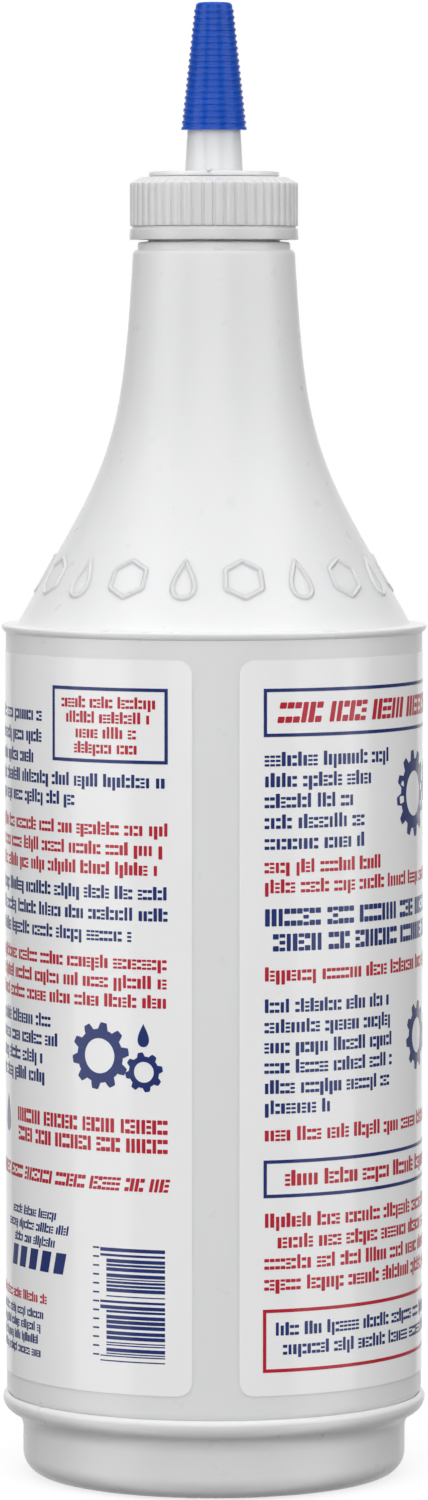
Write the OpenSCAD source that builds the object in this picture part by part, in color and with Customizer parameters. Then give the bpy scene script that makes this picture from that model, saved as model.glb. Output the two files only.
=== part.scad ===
// Quart bottle of oil additive: a blown bottle with a long tapering neck, two film labels,
// a ribbed screw collar over a tear-off band, and a pouring spout under a ridged tip cap.
// Sizes are in millimetres. The bottle stands on z = 0 and its axis is the z axis.

/* [Foot] */
// How far the foot stands in from the label panel, all round
foot_inset = 3.25; // [2:0.25:5]
// Height of the foot's straight wall over the floor
foot_wall_h = 9.3; // [7:0.1:14]
// Rounding between the foot and the floor
heel_r = 4.5; // [3:0.5:6]
// Width of the flat ring that the bottle stands on
stand_ring_w = 2.5; // [1.5:0.5:4]
// Height of the hollow under the base
push_up = 4; // [2:0.5:7]

/* [Lower lip] */
// Rise of the lip, from the top of the foot's straight wall to the lip's crest
lip_rise = 7.1; // [5:0.1:10]
// How far the lip stands out past the label panel
lip_proud = 0.75; // [0.4:0.05:1.5]
// Rounding of the lip's crest
lip_edge_r = 0.35; // [0.2:0.05:0.6]
// Depth of the groove between the lip and the panel, measured in from the panel
groove_depth = 1.4; // [0.8:0.1:2]
// How far the groove's floor lies below the lip's crest
groove_drop = 0.9; // [0.5:0.1:1.4]
// Rounding of the panel's lower edge, over the groove
panel_edge_r = 2.2; // [1.5:0.1:3]

/* [Label panel] */
// Diameter of the label panel
panel_d = 82.9; // [76:0.1:90]
// Height of the panel, from the lower lip's crest to the underside of the upper bead
panel_h = 151.9; // [120:0.1:180]
// Wall thickness of the blown bottle
wall = 1.1; // [0.8:0.1:1.6]
// How far the upper bead stands out past the panel
bead_proud = 0.82; // [0.4:0.02:1.2]
// Height of the upper bead
bead_h = 1.6; // [1.2:0.1:2.5]
// Rounding of the upper bead's underside
bead_r = 1.3; // [1:0.1:1.6]
// Rounding of the upper bead's crest
bead_edge_r = 0.3; // [0.1:0.05:0.4]

/* [Labels] */
// Thickness of the label film
label_t = 0.1; // [0.05:0.01:0.2]
// Width of the bare strip between the two labels, along the panel's girth
label_gap = 9.2; // [4:0.1:20]
// Bare height under the labels
label_margin_low = 4.7; // [3:0.1:12]
// Bare height over the labels
label_margin_high = 3.7; // [2:0.1:12]
// Rounding of the labels' corners
label_corner_r = 3; // [1:0.5:6]
// Turn of the bare strip away from the front, in degrees
label_turn = 0.5; // [-5:0.1:5]

/* [Shoulder] */
// Width of the ledge between the panel and the foot of the shoulder
shoulder_inset = 2.35; // [1.5:0.05:3.5]
// Slope of the shoulder's straight part, in degrees from upright
cone_angle = 29.4; // [26:0.1:32]
// Height of the shoulder's straight part
cone_h = 17.8; // [12:0.1:22]
// Height of the curve that runs up into the neck
flare_h = 55.5; // [45:0.1:70]
// Length of the curve's lower handle
flare_pull_low = 20; // [12:0.5:25]
// Length of the curve's upper handle
flare_pull_high = 29.5; // [20:0.5:34]
// Width of the neck at the top of the curve
waist_d = 32.2; // [31.6:0.1:34]
// Slope of the neck at the top of the curve, in degrees from upright
waist_angle = 3.3; // [1:0.1:5]

/* [Neck] */
// Rounding at the top of the neck
waist_r = 0.95; // [0.6:0.05:1.2]
// Height of the small step over that rounding
step_h = 1.1; // [0.8:0.1:1.6]
// Rounding over the step
step_r = 0.5; // [0.3:0.05:0.7]
// Rise of the neck's sloping top, from the step to the finish
neck_top_rise = 0.55; // [0.3:0.05:1]
// Diameter of the neck under the band's catch
neck_d = 26.1; // [25.7:0.1:26.6]
// Diameter of the threaded finish, at the root of its thread
finish_d = 25.7; // [25:0.1:26]
// Diameter of the mouth
mouth_d = 21.8; // [20:0.1:22.6]
// Rounding of the rim
rim_r = 0.4; // [0.2:0.05:0.7]
// How far the catch bead that holds the band stands out from the neck
catch_proud = 1.35; // [0.9:0.05:1.4]
// Height of the catch bead
catch_h = 1.4; // [1:0.1:1.6]
// Height of the catch bead's upright edge
catch_edge_h = 0.45; // [0.3:0.05:0.7]

/* [Thread] */
// Rise of the thread in one turn
thread_pitch = 3.175; // [2.9:0.005:3.3]
// Turns of each thread
thread_turns = 1.25; // [0.75:0.05:1.3]
// Depth of each thread
thread_depth = 0.9; // [0.6:0.05:1]
// Width of a thread at its root
thread_root_w = 1.5; // [1.3:0.05:1.6]
// Width of a thread at its crest
thread_crest_w = 0.6; // [0.3:0.05:0.8]
// Gap between a thread's crest and the root it faces
thread_crest_gap = 0.4; // [0.3:0.05:0.5]
// Gap between the threads' flanks
thread_play = 0.15; // [0.1:0.05:0.3]

/* [Tamper band] */
// Height of the band
band_h = 2.2; // [2:0.1:3]
// Gap between the bottle's neck and the band
band_lift = 0.3; // [0.2:0.05:0.6]
// Gap between the band and the collar
band_gap = 0.5; // [0.3:0.05:0.8]
// Thickness of the band
band_t = 1.5; // [1.1:0.05:1.8]
// How far the band flares out at its lower edge
band_flare = 0.06; // [0:0.01:0.2]
// Height of the hook inside the band
hook_h = 0.8; // [0.6:0.05:1]
// Gap between the hook and the neck
hook_gap = 0.45; // [0.3:0.05:0.6]
// Thickness of the tear web that joins the band to the collar, at the back of their slit
tear_web_t = 0.7; // [0.4:0.05:0.9]

/* [Collar] */
// Diameter of the collar over its ribs
collar_d = 33.4; // [32.6:0.1:36]
// Height of the collar
collar_h = 9.7; // [9.4:0.1:12]
// Thickness of the collar's top
collar_top_t = 1.3; // [1:0.1:1.5]
// Number of ribs
rib_count = 48; // [30:2:60]
// Depth of the grooves between the ribs
rib_depth = 0.45; // [0.2:0.05:0.7]
// Width of a groove at its floor
rib_floor_w = 0.3; // [0.1:0.05:0.5]
// Width of a groove at its mouth
rib_mouth_w = 0.9; // [0.6:0.05:1.2]
// Width of the bevel round the collar's top
bevel_w = 2.2; // [1:0.1:2.6]
// Height of that bevel
bevel_h = 1.2; // [0.8:0.1:1.6]

/* [Spout] */
// Diameter of the disc over the collar
disc_d = 25.9; // [25:0.1:28]
// Thickness of the disc
disc_t = 0.7; // [0.5:0.05:1]
// Gap between the collar and the disc
disc_gap = 0.4; // [0.2:0.05:0.8]
// Width of the index tick on the disc
tick_w = 0.6; // [0.4:0.1:1]
// Height of the index tick
tick_h = 0.3; // [0.2:0.05:0.5]
// Direction of the index tick, in degrees
tick_turn = -94.6; // [-180:0.1:180]
// Diameter of the hub that the collar turns on
hub_d = 23; // [22.6:0.05:23.4]
// Running gap between the hub and the collar, all round
hub_gap = 0.08; // [0.03:0.01:0.1]
// How far the snap flange reaches past the hub
flange_w = 1; // [0.7:0.05:1.1]
// Thickness of the snap flange
flange_t = 0.8; // [0.6:0.05:1]
// Length of the plug skirt in the bottle's mouth
plug_h = 3; // [2:0.1:4]
// Gap between the plug skirt and the mouth
plug_gap = 0.15; // [0.1:0.05:0.3]
// Thickness of the plug skirt
plug_t = 1; // [0.8:0.05:1.3]
// Width of the spout where it stands on the disc
spout_d = 11.5; // [11.2:0.1:13]
// Length of the spout that shows under the tip cap
spout_bare_h = 8.2; // [5:0.1:14]
// Wall thickness of the spout
spout_wall = 1.15; // [0.8:0.05:1.4]
// Rounding between the spout and the disc
spout_root_r = 0.4; // [0.2:0.05:0.8]

/* [Gasket] */
// Thickness of the gasket
gasket_t = 0.75; // [0.5:0.05:1]
// Seating gap over and under the gasket
seat_gap = 0.05; // [0.02:0.01:0.1]
// Gap between the gasket and the plug skirt
gasket_gap = 0.1; // [0.05:0.01:0.15]

/* [Tip cap] */
// Width of the tip cap at its lower edge
tip_d = 13.1; // [12.8:0.1:14]
// Width of the tip cap at its top
tip_top_d = 7.5; // [7:0.1:8.5]
// Height of the tip cap
tip_h = 25.2; // [20:0.1:32]
// Number of ring ridges
ridge_count = 20; // [12:1:26]
// Depth of a ridge
ridge_depth = 0.2; // [0.1:0.05:0.3]
// Wall thickness of the tip cap under its ridges
tip_wall = 1; // [0.8:0.05:1.1]
// Thickness of the closed end
tip_end_t = 1.5; // [1:0.1:2.5]
// Rounding of the top edge
tip_edge_r = 0.8; // [0.4:0.1:1.2]
// Gap between the tip cap and the spout
tip_gap = 0.08; // [0.05:0.01:0.12]

/* [Hidden] */
$fn = 96;
arc_steps = 6;
curve_steps = 20;
// Nudge that makes a cut run past the face it cuts
over = 1;
// Clear film of air between a label and the panel
label_air = 0.02;

// Radii and heights of the bottle, from the floor up
panel_r = panel_d/2;
foot_r = panel_r - foot_inset;
lip_r = panel_r + lip_proud;
groove_r = panel_r - groove_depth;
lip_z = foot_wall_h + lip_rise;
groove_z = lip_z - groove_drop;
bead_z = lip_z + panel_h;
bead_out_r = panel_r + bead_proud;
bead_top_z = bead_z + bead_h;
cone_r = panel_r - shoulder_inset;
flare_z = bead_top_z + cone_h;
flare_r = cone_r - cone_h*tan(cone_angle);
waist_z = flare_z + flare_h;
waist_out_r = waist_d/2;
step_out_r = waist_out_r - waist_r;
step_z = waist_z + waist_r + step_h;
neck_top_z = step_z + neck_top_rise;
finish_r = finish_d/2;
mouth_r = mouth_d/2;
neck_r = neck_d/2;
catch_r = neck_r + catch_proud;

// Heights of the closure, from the neck up
band_z = neck_top_z + band_lift;
band_top_z = band_z + band_h;
collar_z = band_top_z + band_gap;
collar_top_z = collar_z + collar_h;
flange_top_z = collar_top_z - collar_top_t - seat_gap;
flange_z = flange_top_z - flange_t;
gasket_z = flange_z - seat_gap - gasket_t;
rim_z = gasket_z - seat_gap;
disc_z = collar_top_z + disc_gap;
disc_top_z = disc_z + disc_t;
tip_z = disc_top_z + spout_bare_h;
tip_top_z = tip_z + tip_h;

// Radii of the closure
collar_r = collar_d/2;
collar_bore_r = finish_r + thread_depth + thread_crest_gap;
hub_r = hub_d/2;
hole_r = hub_r + hub_gap;
flange_r = hub_r + flange_w;
plug_r = mouth_r - plug_gap;
plug_in_r = plug_r - plug_t;
hook_r = neck_r + hook_gap;
hook_z = band_z + hook_h;
catch_z = hook_z + seat_gap + seat_gap;
catch_top_z = catch_z + catch_h;

// The tip cap's outside and bore, and the spout in it, keep one slope
tip_slope = (tip_d - tip_top_d)/2/tip_h;
function tip_r(z) = tip_d/2 - tip_slope*(z - tip_z);
function tip_bore_r(z) = tip_r(z) - ridge_depth - tip_wall;
function spout_r(z) = tip_bore_r(z) - tip_gap;
tip_bore_top_z = tip_top_z - tip_end_t;
spout_top_z = tip_bore_top_z - spout_wall/2;

// Height of the two threads: the collar's lies just under the bottle's
thread_slope = (thread_root_w - thread_crest_w)/2/thread_depth;
thread_z = rim_z - rim_r - thread_root_w/2 - thread_turns*thread_pitch;
thread_drop = thread_root_w - thread_slope*(collar_bore_r - finish_r) + thread_play;
// Turn of the collar's thread from the bottle's, in turns
collar_lead = 0.5;
// Depth that a thread's root is sunk into its wall
thread_sink = 0.2;
// Steps in one turn of a thread, steps in which it runs out, and its height at its very end
turn_steps = 24;
run_out_steps = 3;
run_out_end = 0.05;

// Shares of a ridge's pitch on the tip cap: its flat land, and the slope on each side of it
ridge_land_share = 0.48;
ridge_slope_share = 0.07;

// Points on an arc round [x, z], from angle a to angle b
function arc(x, z, r, a, b) =
    [for (i = [0:arc_steps]) [x + r*cos(a + (b - a)*i/arc_steps), z + r*sin(a + (b - a)*i/arc_steps)]];

// Two tangent arcs that lead one upright wall into another, hollow first and then round
function ogee(x0, z0, x1, z1, share) =
    let (turn = 2*atan((x1 - x0)/(z1 - z0)), sum_r = (z1 - z0)/sin(turn), a = sum_r*share, b = sum_r - a)
    concat(arc(x0 + a, z0, a, 180, 180 - turn), arc(x1 - b, z1, b, -turn, 0));

// The curve from the cone up into the neck, drawn in by the wall on its inside
function flare_point(t, inset) =
    let (
        low = [flare_r, flare_z],
        high = [waist_out_r, waist_z],
        low_pull = low + flare_pull_low*[-sin(cone_angle), cos(cone_angle)],
        high_pull = high - flare_pull_high*[-sin(waist_angle), cos(waist_angle)],
        s = 1 - t
    )
    s*s*s*low + 3*s*s*t*low_pull + 3*s*t*t*high_pull + t*t*t*high - [inset, 0];
function flare(inset) = [for (i = [0:curve_steps]) flare_point(i/curve_steps, inset)];

// The hollow under the base: half a cosine wave from the middle out to the standing ring
heel_in_r = foot_r - heel_r;
ring_in_r = heel_in_r - stand_ring_w;
function dome(floor_z) =
    [for (i = [0:arc_steps]) [ring_in_r*i/arc_steps, floor_z + push_up*(1 + cos(180*i/arc_steps))/2]];

// Outside of the bottle, from the middle of the base to the rim
bead_turn = acos(1 - bead_proud/bead_r);
panel_edge_turn = acos(1 - groove_depth/panel_edge_r);
foot_share = 0.55;
function outside() = concat(
    dome(0),
    arc(heel_in_r, heel_r, heel_r, -90, 0),
    ogee(foot_r, foot_wall_h, lip_r, lip_z - lip_edge_r, foot_share),
    arc(lip_r - lip_edge_r, lip_z - lip_edge_r, lip_edge_r, 0, 90),
    [[groove_r, groove_z]],
    arc(panel_r - panel_edge_r, groove_z + panel_edge_r, panel_edge_r, -panel_edge_turn, 0),
    arc(bead_out_r - bead_r, bead_top_z - bead_edge_r, bead_r, -bead_turn, 0),
    arc(bead_out_r - bead_edge_r, bead_top_z - bead_edge_r, bead_edge_r, 0, 90),
    [[cone_r, bead_top_z]],
    flare(0),
    arc(step_out_r, waist_z, waist_r, 0, 90),
    [[step_out_r, step_z - step_r]],
    arc(step_out_r - step_r, step_z - step_r, step_r, 0, 90),
    [
        [neck_r, neck_top_z],
        [neck_r, catch_z],
        [catch_r, catch_z],
        [catch_r, catch_z + catch_edge_h],
        [finish_r, catch_top_z]
    ],
    arc(finish_r - rim_r, rim_z - rim_r, rim_r, 0, 90)
);

// Inside of the bottle, from the rim down to the middle of the base
corner_in_r = 2*wall;
corner_in_z = bead_top_z - (corner_in_r + cos(cone_angle)*(shoulder_inset - corner_in_r))/sin(cone_angle);
neck_in_z = neck_top_z - wall;
waist_in_r = waist_out_r - wall;
foot_in_r = foot_r - wall;
panel_in_r = panel_r - wall;
function reversed(points) = [for (i = [len(points) - 1:-1:0]) points[i]];
function inside() = concat(
    arc(mouth_r + rim_r, rim_z - rim_r, rim_r, 90, 180),
    [[mouth_r, neck_in_z], [waist_in_r, neck_in_z - (waist_in_r - mouth_r)]],
    [for (i = [curve_steps - 3:-1:0]) flare_point(i/curve_steps, wall)],
    arc(panel_in_r - corner_in_r, corner_in_z, corner_in_r, cone_angle, 0),
    reversed(ogee(foot_in_r, foot_wall_h, panel_in_r, groove_z + 2*panel_edge_r, 0.5)),
    arc(heel_in_r, heel_r, heel_r - wall, 0, -90),
    reversed(dome(wall))
);

// A ridge that winds round the axis. Its root is sunk a little into the wall and its ends run out
module thread_ridge(root_r, crest_r, z0) {
    n = ceil(thread_turns*turn_steps);
    sink = thread_sink*sign(root_r - crest_r);
    half_root = thread_root_w/2 + thread_slope*thread_sink;
    function height(i) = min(1, min(i, n - i)/run_out_steps + run_out_end);
    function ring(i) =
        let (
            a = 360*thread_turns*i/n,
            z = z0 + thread_pitch*thread_turns*i/n,
            c = root_r + (crest_r - root_r)*height(i),
            half_crest = thread_root_w/2 - thread_slope*abs(c - root_r)
        )
        [for (p = [[root_r + sink, -half_root], [c, -half_crest], [c, half_crest], [root_r + sink, half_root]])
            [p[0]*cos(a), p[0]*sin(a), z + p[1]]];
    points = [for (i = [0:n]) each ring(i)];
    inward = crest_r < root_r;
    sides = [for (i = [0:n - 1]) for (k = [0:3])
        let (q = [4*i + k, 4*i + (k + 1)%4, 4*i + 4 + (k + 1)%4, 4*i + 4 + k])
        each [[q[0], q[1], q[2]], [q[0], q[2], q[3]]]];
    ends = [[3, 2, 1], [3, 1, 0], [4*n, 4*n + 1, 4*n + 2], [4*n, 4*n + 2, 4*n + 3]];
    faces = concat(sides, ends);
    polyhedron(points, inward ? [for (f = faces) [f[2], f[1], f[0]]] : faces);
}

// The hollow blown bottle with its threaded finish
module bottle() color("whitesmoke") {
    rotate_extrude() polygon(concat(outside(), inside()));
    thread_ridge(finish_r, finish_r + thread_depth, thread_z);
}

// The waste outside a rounded corner whose centre is the origin, as flats that touch the round
module corner_waste(r) {
    out_r = r/cos(45/arc_steps);
    polygon(concat(
        [for (i = [0:arc_steps]) out_r*[cos(90*i/arc_steps), sin(90*i/arc_steps)]],
        [[0, r + over], [r + over, r + over], [r + over, 0]]
    ));
}

// One film label, wrapped round its half of the panel, centred on the given direction
label_in_r = panel_r + label_air;
label_out_r = label_in_r + label_t;
label_wrap = 180 - label_gap/label_out_r*180/PI;
label_z = lip_z + label_margin_low;
label_top_z = bead_z - label_margin_high;
module label(direction) {
    corner_turn = label_wrap/2 - label_corner_r/label_out_r*180/PI;
    difference() {
        rotate([0, 0, direction - label_wrap/2])
            rotate_extrude(angle = label_wrap)
                translate([label_in_r, label_z])
                    square([label_t, label_top_z - label_z]);
        for (side = [-1, 1], high = [0, 1])
            rotate([0, 0, direction + side*corner_turn])
                translate([label_in_r - over, 0, high ? label_top_z - label_corner_r : label_z + label_corner_r])
                    rotate([90, 0, 90])
                        linear_extrude(label_t + 2*over)
                            rotate(side > 0 ? (high ? 0 : -90) : (high ? 90 : 180))
                                corner_waste(label_corner_r);
    }
}
module front_label() color("white") label(label_turn);
module back_label() color("white") label(180 + label_turn);

// Tear-off band with its inner hook and its tear web, which is parted from the collar
module tamper_band() color("gainsboro") {
    out_r = collar_r;
    in_r = collar_r - band_t;
    web_top_z = collar_z - seat_gap;
    rotate_extrude() polygon([
        [hook_r + hook_h/2, band_z],
        [out_r + band_flare, band_z],
        [out_r, band_top_z],
        [in_r + tear_web_t, band_top_z],
        [in_r + tear_web_t, web_top_z],
        [in_r, web_top_z],
        [in_r, hook_z],
        [hook_r, hook_z],
        [hook_r, band_z + hook_h/2]
    ]);
}

// Ribbed outline of the collar, with a sloping groove between each two ribs
module ribbed_outline() {
    pitch = 360/rib_count;
    mouth = rib_mouth_w/2/collar_r*180/PI;
    floor = rib_floor_w/2/collar_r*180/PI;
    low_r = collar_r - rib_depth;
    polygon([for (i = [0:rib_count - 1]) each [
        collar_r*[cos(i*pitch - mouth), sin(i*pitch - mouth)],
        low_r*[cos(i*pitch - floor), sin(i*pitch - floor)],
        low_r*[cos(i*pitch + floor), sin(i*pitch + floor)],
        collar_r*[cos(i*pitch + mouth), sin(i*pitch + mouth)],
        collar_r*[cos((i + 0.5)*pitch), sin((i + 0.5)*pitch)]
    ]]);
}

// Screw collar: ribbed outside, threaded inside, open in its top for the spout's hub
module collar() color("gainsboro") {
    top_in_z = collar_top_z - collar_top_t;
    difference() {
        intersection() {
            translate([0, 0, collar_z]) linear_extrude(collar_h) ribbed_outline();
            rotate_extrude() polygon([
                [0, collar_z - over],
                [collar_r + over, collar_z - over],
                [collar_r + over, collar_top_z - bevel_h*(bevel_w + over)/bevel_w],
                [collar_r - bevel_w, collar_top_z],
                [0, collar_top_z]
            ]);
        }
        translate([0, 0, collar_z - over]) cylinder(h = top_in_z - collar_z + over, r = collar_bore_r);
        translate([0, 0, collar_z]) cylinder(h = collar_h + over, r = hole_r);
    }
    rotate([0, 0, 360*collar_lead])
        thread_ridge(collar_bore_r, collar_bore_r - thread_depth, thread_z - thread_drop + collar_lead*thread_pitch);
}

// Sealing ring between the spout's flange and the rim
module gasket() color("dimgray") {
    rotate_extrude()
        translate([plug_r + gasket_gap, gasket_z])
            square([finish_r - plug_r - 2*gasket_gap, gasket_t]);
}

// Pouring spout: tapered tube, disc, hub with its snap flange, and plug skirt
module spout() color("lightgray") {
    plug_z = flange_z - plug_h;
    disc_under_z = disc_z + disc_t - max(disc_t, spout_wall);
    rotate_extrude() polygon(concat(
        [
            [spout_r(tip_z) - spout_wall, tip_z],
            [spout_d/2 - spout_wall, disc_under_z],
            [plug_in_r, disc_under_z],
            [plug_in_r, plug_z],
            [plug_r - plug_t/2, plug_z],
            [plug_r, plug_z + plug_t/2],
            [plug_r, flange_z],
            [flange_r - flange_t/2, flange_z],
            [flange_r, flange_z + flange_t/2],
            [flange_r, flange_top_z],
            [hub_r, flange_top_z],
            [hub_r, disc_z],
            [disc_d/2, disc_z],
            [disc_d/2, disc_top_z]
        ],
        arc(spout_d/2 + spout_root_r, disc_top_z + spout_root_r, spout_root_r, -90, -180),
        [
            [spout_r(tip_z), tip_z],
            [spout_r(spout_top_z), spout_top_z],
            [spout_r(spout_top_z) - spout_wall, spout_top_z]
        ]
    ));
    rotate([0, 0, tick_turn])
        translate([spout_d/2 + spout_root_r, -tick_w/2, disc_top_z - disc_t/2])
            cube([disc_d/2 - spout_d/2 - spout_root_r, tick_w, disc_t/2 + tick_h]);
}

// Long cap over the spout's tip, ringed by flat ridges with a groove over each
module tip_cap() color("royalblue") {
    ridge_top_z = tip_top_z - tip_edge_r;
    ridge_pitch = (ridge_top_z - tip_z)/ridge_count;
    top_r = tip_r(ridge_top_z) - ridge_depth;
    rotate_extrude() polygon(concat(
        [
            [0, tip_bore_top_z],
            [tip_bore_r(tip_bore_top_z), tip_bore_top_z],
            [tip_bore_r(tip_z), tip_z]
        ],
        [for (i = [0:ridge_count - 1])
            let (
                z = tip_z + i*ridge_pitch,
                land_z = z + ridge_land_share*ridge_pitch,
                low_z = land_z + ridge_slope_share*ridge_pitch,
                high_z = z + (1 - ridge_slope_share)*ridge_pitch
            )
            each [
                [tip_r(z), z],
                [tip_r(land_z), land_z],
                [tip_r(low_z) - ridge_depth, low_z],
                [tip_r(high_z) - ridge_depth, high_z]
            ]
        ],
        arc(top_r - tip_edge_r, ridge_top_z, tip_edge_r, 0, 90),
        [[0, tip_top_z]]
    ));
}

bottle();
front_label();
back_label();
tamper_band();
collar();
gasket();
spout();
tip_cap();
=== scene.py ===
"""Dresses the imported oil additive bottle: blown shell, printed labels, ribbed closure and tip cap.

Every surface is a grid of two parameters or a profile turned or carried along a path, in metres,
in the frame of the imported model: +Z up along the bottle's axis, -Y towards the camera.
"""

import functools
import math

import bpy
import numpy as np
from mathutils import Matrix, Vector


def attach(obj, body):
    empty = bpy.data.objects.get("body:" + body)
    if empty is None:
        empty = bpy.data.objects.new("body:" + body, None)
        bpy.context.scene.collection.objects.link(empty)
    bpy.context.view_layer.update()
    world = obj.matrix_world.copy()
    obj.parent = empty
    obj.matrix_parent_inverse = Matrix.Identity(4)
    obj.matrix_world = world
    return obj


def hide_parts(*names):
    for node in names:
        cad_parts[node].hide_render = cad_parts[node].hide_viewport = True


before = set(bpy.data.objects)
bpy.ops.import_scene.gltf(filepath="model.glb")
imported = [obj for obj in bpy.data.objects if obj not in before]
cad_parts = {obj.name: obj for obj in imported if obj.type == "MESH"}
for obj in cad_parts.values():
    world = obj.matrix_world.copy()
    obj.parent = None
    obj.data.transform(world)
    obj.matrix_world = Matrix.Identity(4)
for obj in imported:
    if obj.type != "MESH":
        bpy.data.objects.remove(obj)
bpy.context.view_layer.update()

bl_info = {
    "name": "Oil Additive Bottle",
    "version": (1, 0, 0),
    "blender": (4, 5, 0),
    "location": "View3D > Sidebar > Bottle",
    "description": "Builds the bottle's shell, labels, closure, spout and cap around the packed model",
    "category": "Object",
}

MM = 0.001
AROUND = 256
PRINT_LIFT = 0.02 * MM
PRINT_THICKNESS = 0.02 * MM
SHARP_ANGLE = math.radians(38)
CAP_SHARP_ANGLE = math.radians(60)
SPOUT_STEPS = 192
CORNER_STEPS = 2
NOISE_SPAN = (0.3, 0.7)
CAP_STEPS = 160
THREAD_TURNS = 1.25


def length(name, millimetres, description):
    """A size in metres, given in millimetres."""
    return bpy.props.FloatProperty(
        name=name, description=description, default=millimetres * MM,
        subtype="DISTANCE", unit="LENGTH", precision=5,
    )


def angle(name, degrees, description):
    """An angle in radians, given in degrees."""
    return bpy.props.FloatProperty(
        name=name, description=description, default=math.radians(degrees), subtype="ANGLE", unit="ROTATION"
    )


def colour(name, rgb, description):
    """A linear colour."""
    return bpy.props.FloatVectorProperty(
        name=name, description=description, default=rgb, size=3, min=0, max=1, subtype="COLOR"
    )


def whole(name, number, low, high, description):
    """A whole number between two limits."""
    return bpy.props.IntProperty(name=name, description=description, default=number, min=low, max=high)


def plain(name, value, description):
    """A number without a unit of its own."""
    return bpy.props.FloatProperty(name=name, description=description, default=value)


class BottleSizes(bpy.types.PropertyGroup):
    """Sizes of the blown bottle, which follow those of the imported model"""

    wall: length("Wall", 1.1, "Wall thickness of the blown bottle")
    foot_r: length("Foot Radius", 38.2, "Radius of the foot's wall")
    foot_wall_h: length("Foot Wall Height", 9.3, "Height of the foot's straight wall over the floor")
    heel_r: length("Heel Rounding", 4.5, "Rounding between the foot and the floor")
    ring_w: length("Ring Width", 2.5, "Width of the flat ring that the bottle stands on")
    push_up: length("Push-up", 4, "Height of the hollow under the base")
    lip_z: length("Lip Height", 16.4, "Height of the lower lip's crest")
    lip_r: length("Lip Radius", 42.2, "Radius of the lower lip")
    lip_edge_r: length("Lip Edge", 1.0, "Rounding of the lower lip's crest")
    groove_r: length("Groove Radius", 40.05, "Radius at the floor of the groove over the lip")
    groove_z: length("Groove Height", 15.5, "Height of the groove's floor")
    panel_edge_r: length("Panel Edge", 2.2, "Rounding of the panel's lower edge")
    panel_r: length("Panel Radius", 41.45, "Radius of the label panel")
    bead_top_z: length("Bead Top", 169.9, "Height of the upper bead's top")
    bead_out_r: length("Bead Radius", 42.27, "Radius of the upper bead")
    bead_r: length("Bead Rounding", 1.3, "Rounding of the upper bead's underside")
    bead_edge_r: length("Bead Edge", 0.3, "Rounding of the upper bead's crest")
    cone_r: length("Shoulder Radius", 39.1, "Radius of the shoulder's foot")
    cone_angle: angle("Shoulder Slope", 29.4, "Slope of the shoulder's straight part, from upright")
    flare_z: length("Flare Height", 187.7, "Height at which the shoulder begins to curve")
    flare_pull_low: length("Lower Handle", 20, "Length of the curve's lower handle")
    flare_pull_high: length("Upper Handle", 29.5, "Length of the curve's upper handle")
    waist_z: length("Waist Height", 243.2, "Height of the top of the curve")
    waist_out_r: length("Waist Radius", 16.1, "Radius of the neck at the top of the curve")
    waist_angle: angle("Waist Slope", 3.3, "Slope of the neck at the top of the curve, from upright")
    waist_r: length("Waist Rounding", 0.95, "Rounding at the top of the neck")
    step_z: length("Step Height", 245.65, "Height of the step over the neck's rounding")
    step_r: length("Step Rounding", 0.5, "Rounding over the step")
    neck_top_z: length("Neck Top", 245.8, "Height at which the finish begins")
    neck_r: length("Finish Foot Radius", 13.05, "Radius of the finish under the band's catch")
    catch_z: length("Catch Height", 247.0, "Height of the catch bead's underside")
    catch_top_z: length("Catch Top", 248.4, "Height of the catch bead's top")
    catch_r: length("Catch Radius", 14.4, "Radius of the catch bead")
    catch_edge_h: length("Catch Edge", 0.45, "Height of the catch bead's upright edge")
    finish_r: length("Finish Radius", 12.85, "Radius of the finish at the root of its thread")
    mouth_r: length("Mouth Radius", 10.9, "Radius of the mouth")
    rim_z: length("Rim Height", 255.5, "Height of the rim")
    rim_r: length("Rim Rounding", 0.4, "Rounding of the rim")
    relief_z: length("Relief Height", 179.9, "Height of the middle of the raised ornament on the shoulder")
    relief_h: length("Relief Size", 8.2, "Height of one raised figure, along the slope")
    relief_line_w: length("Relief Line", 1.15, "Width of the raised line")
    relief_line_t: length("Relief Depth", 0.38, "How far the raised line stands proud")
    relief_count: whole("Relief Count", 18, 4, 40, "Number of raised figures round the shoulder")


class LabelSizes(bpy.types.PropertyGroup):
    """Sizes of the two film labels and of the print on them"""

    inner_r: length("Inner Radius", 41.47, "Radius of the film's back")
    outer_r: length("Outer Radius", 41.57, "Radius of the film's face")
    low_z: length("Lower Edge", 21.1, "Height of the labels' lower edge")
    high_z: length("Upper Edge", 164.6, "Height of the labels' upper edge")
    gap: length("Bare Strip", 9.2, "Width of the bare strip between the two labels, along the girth")
    turn: angle("Turn", 0.5, "Turn of the bare strip away from the front")
    corner_r: length("Corner Rounding", 3, "Rounding of the labels' corners")
    frame_w: length("Frame Line", 0.68, "Width of the printed frames' lines")


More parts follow.
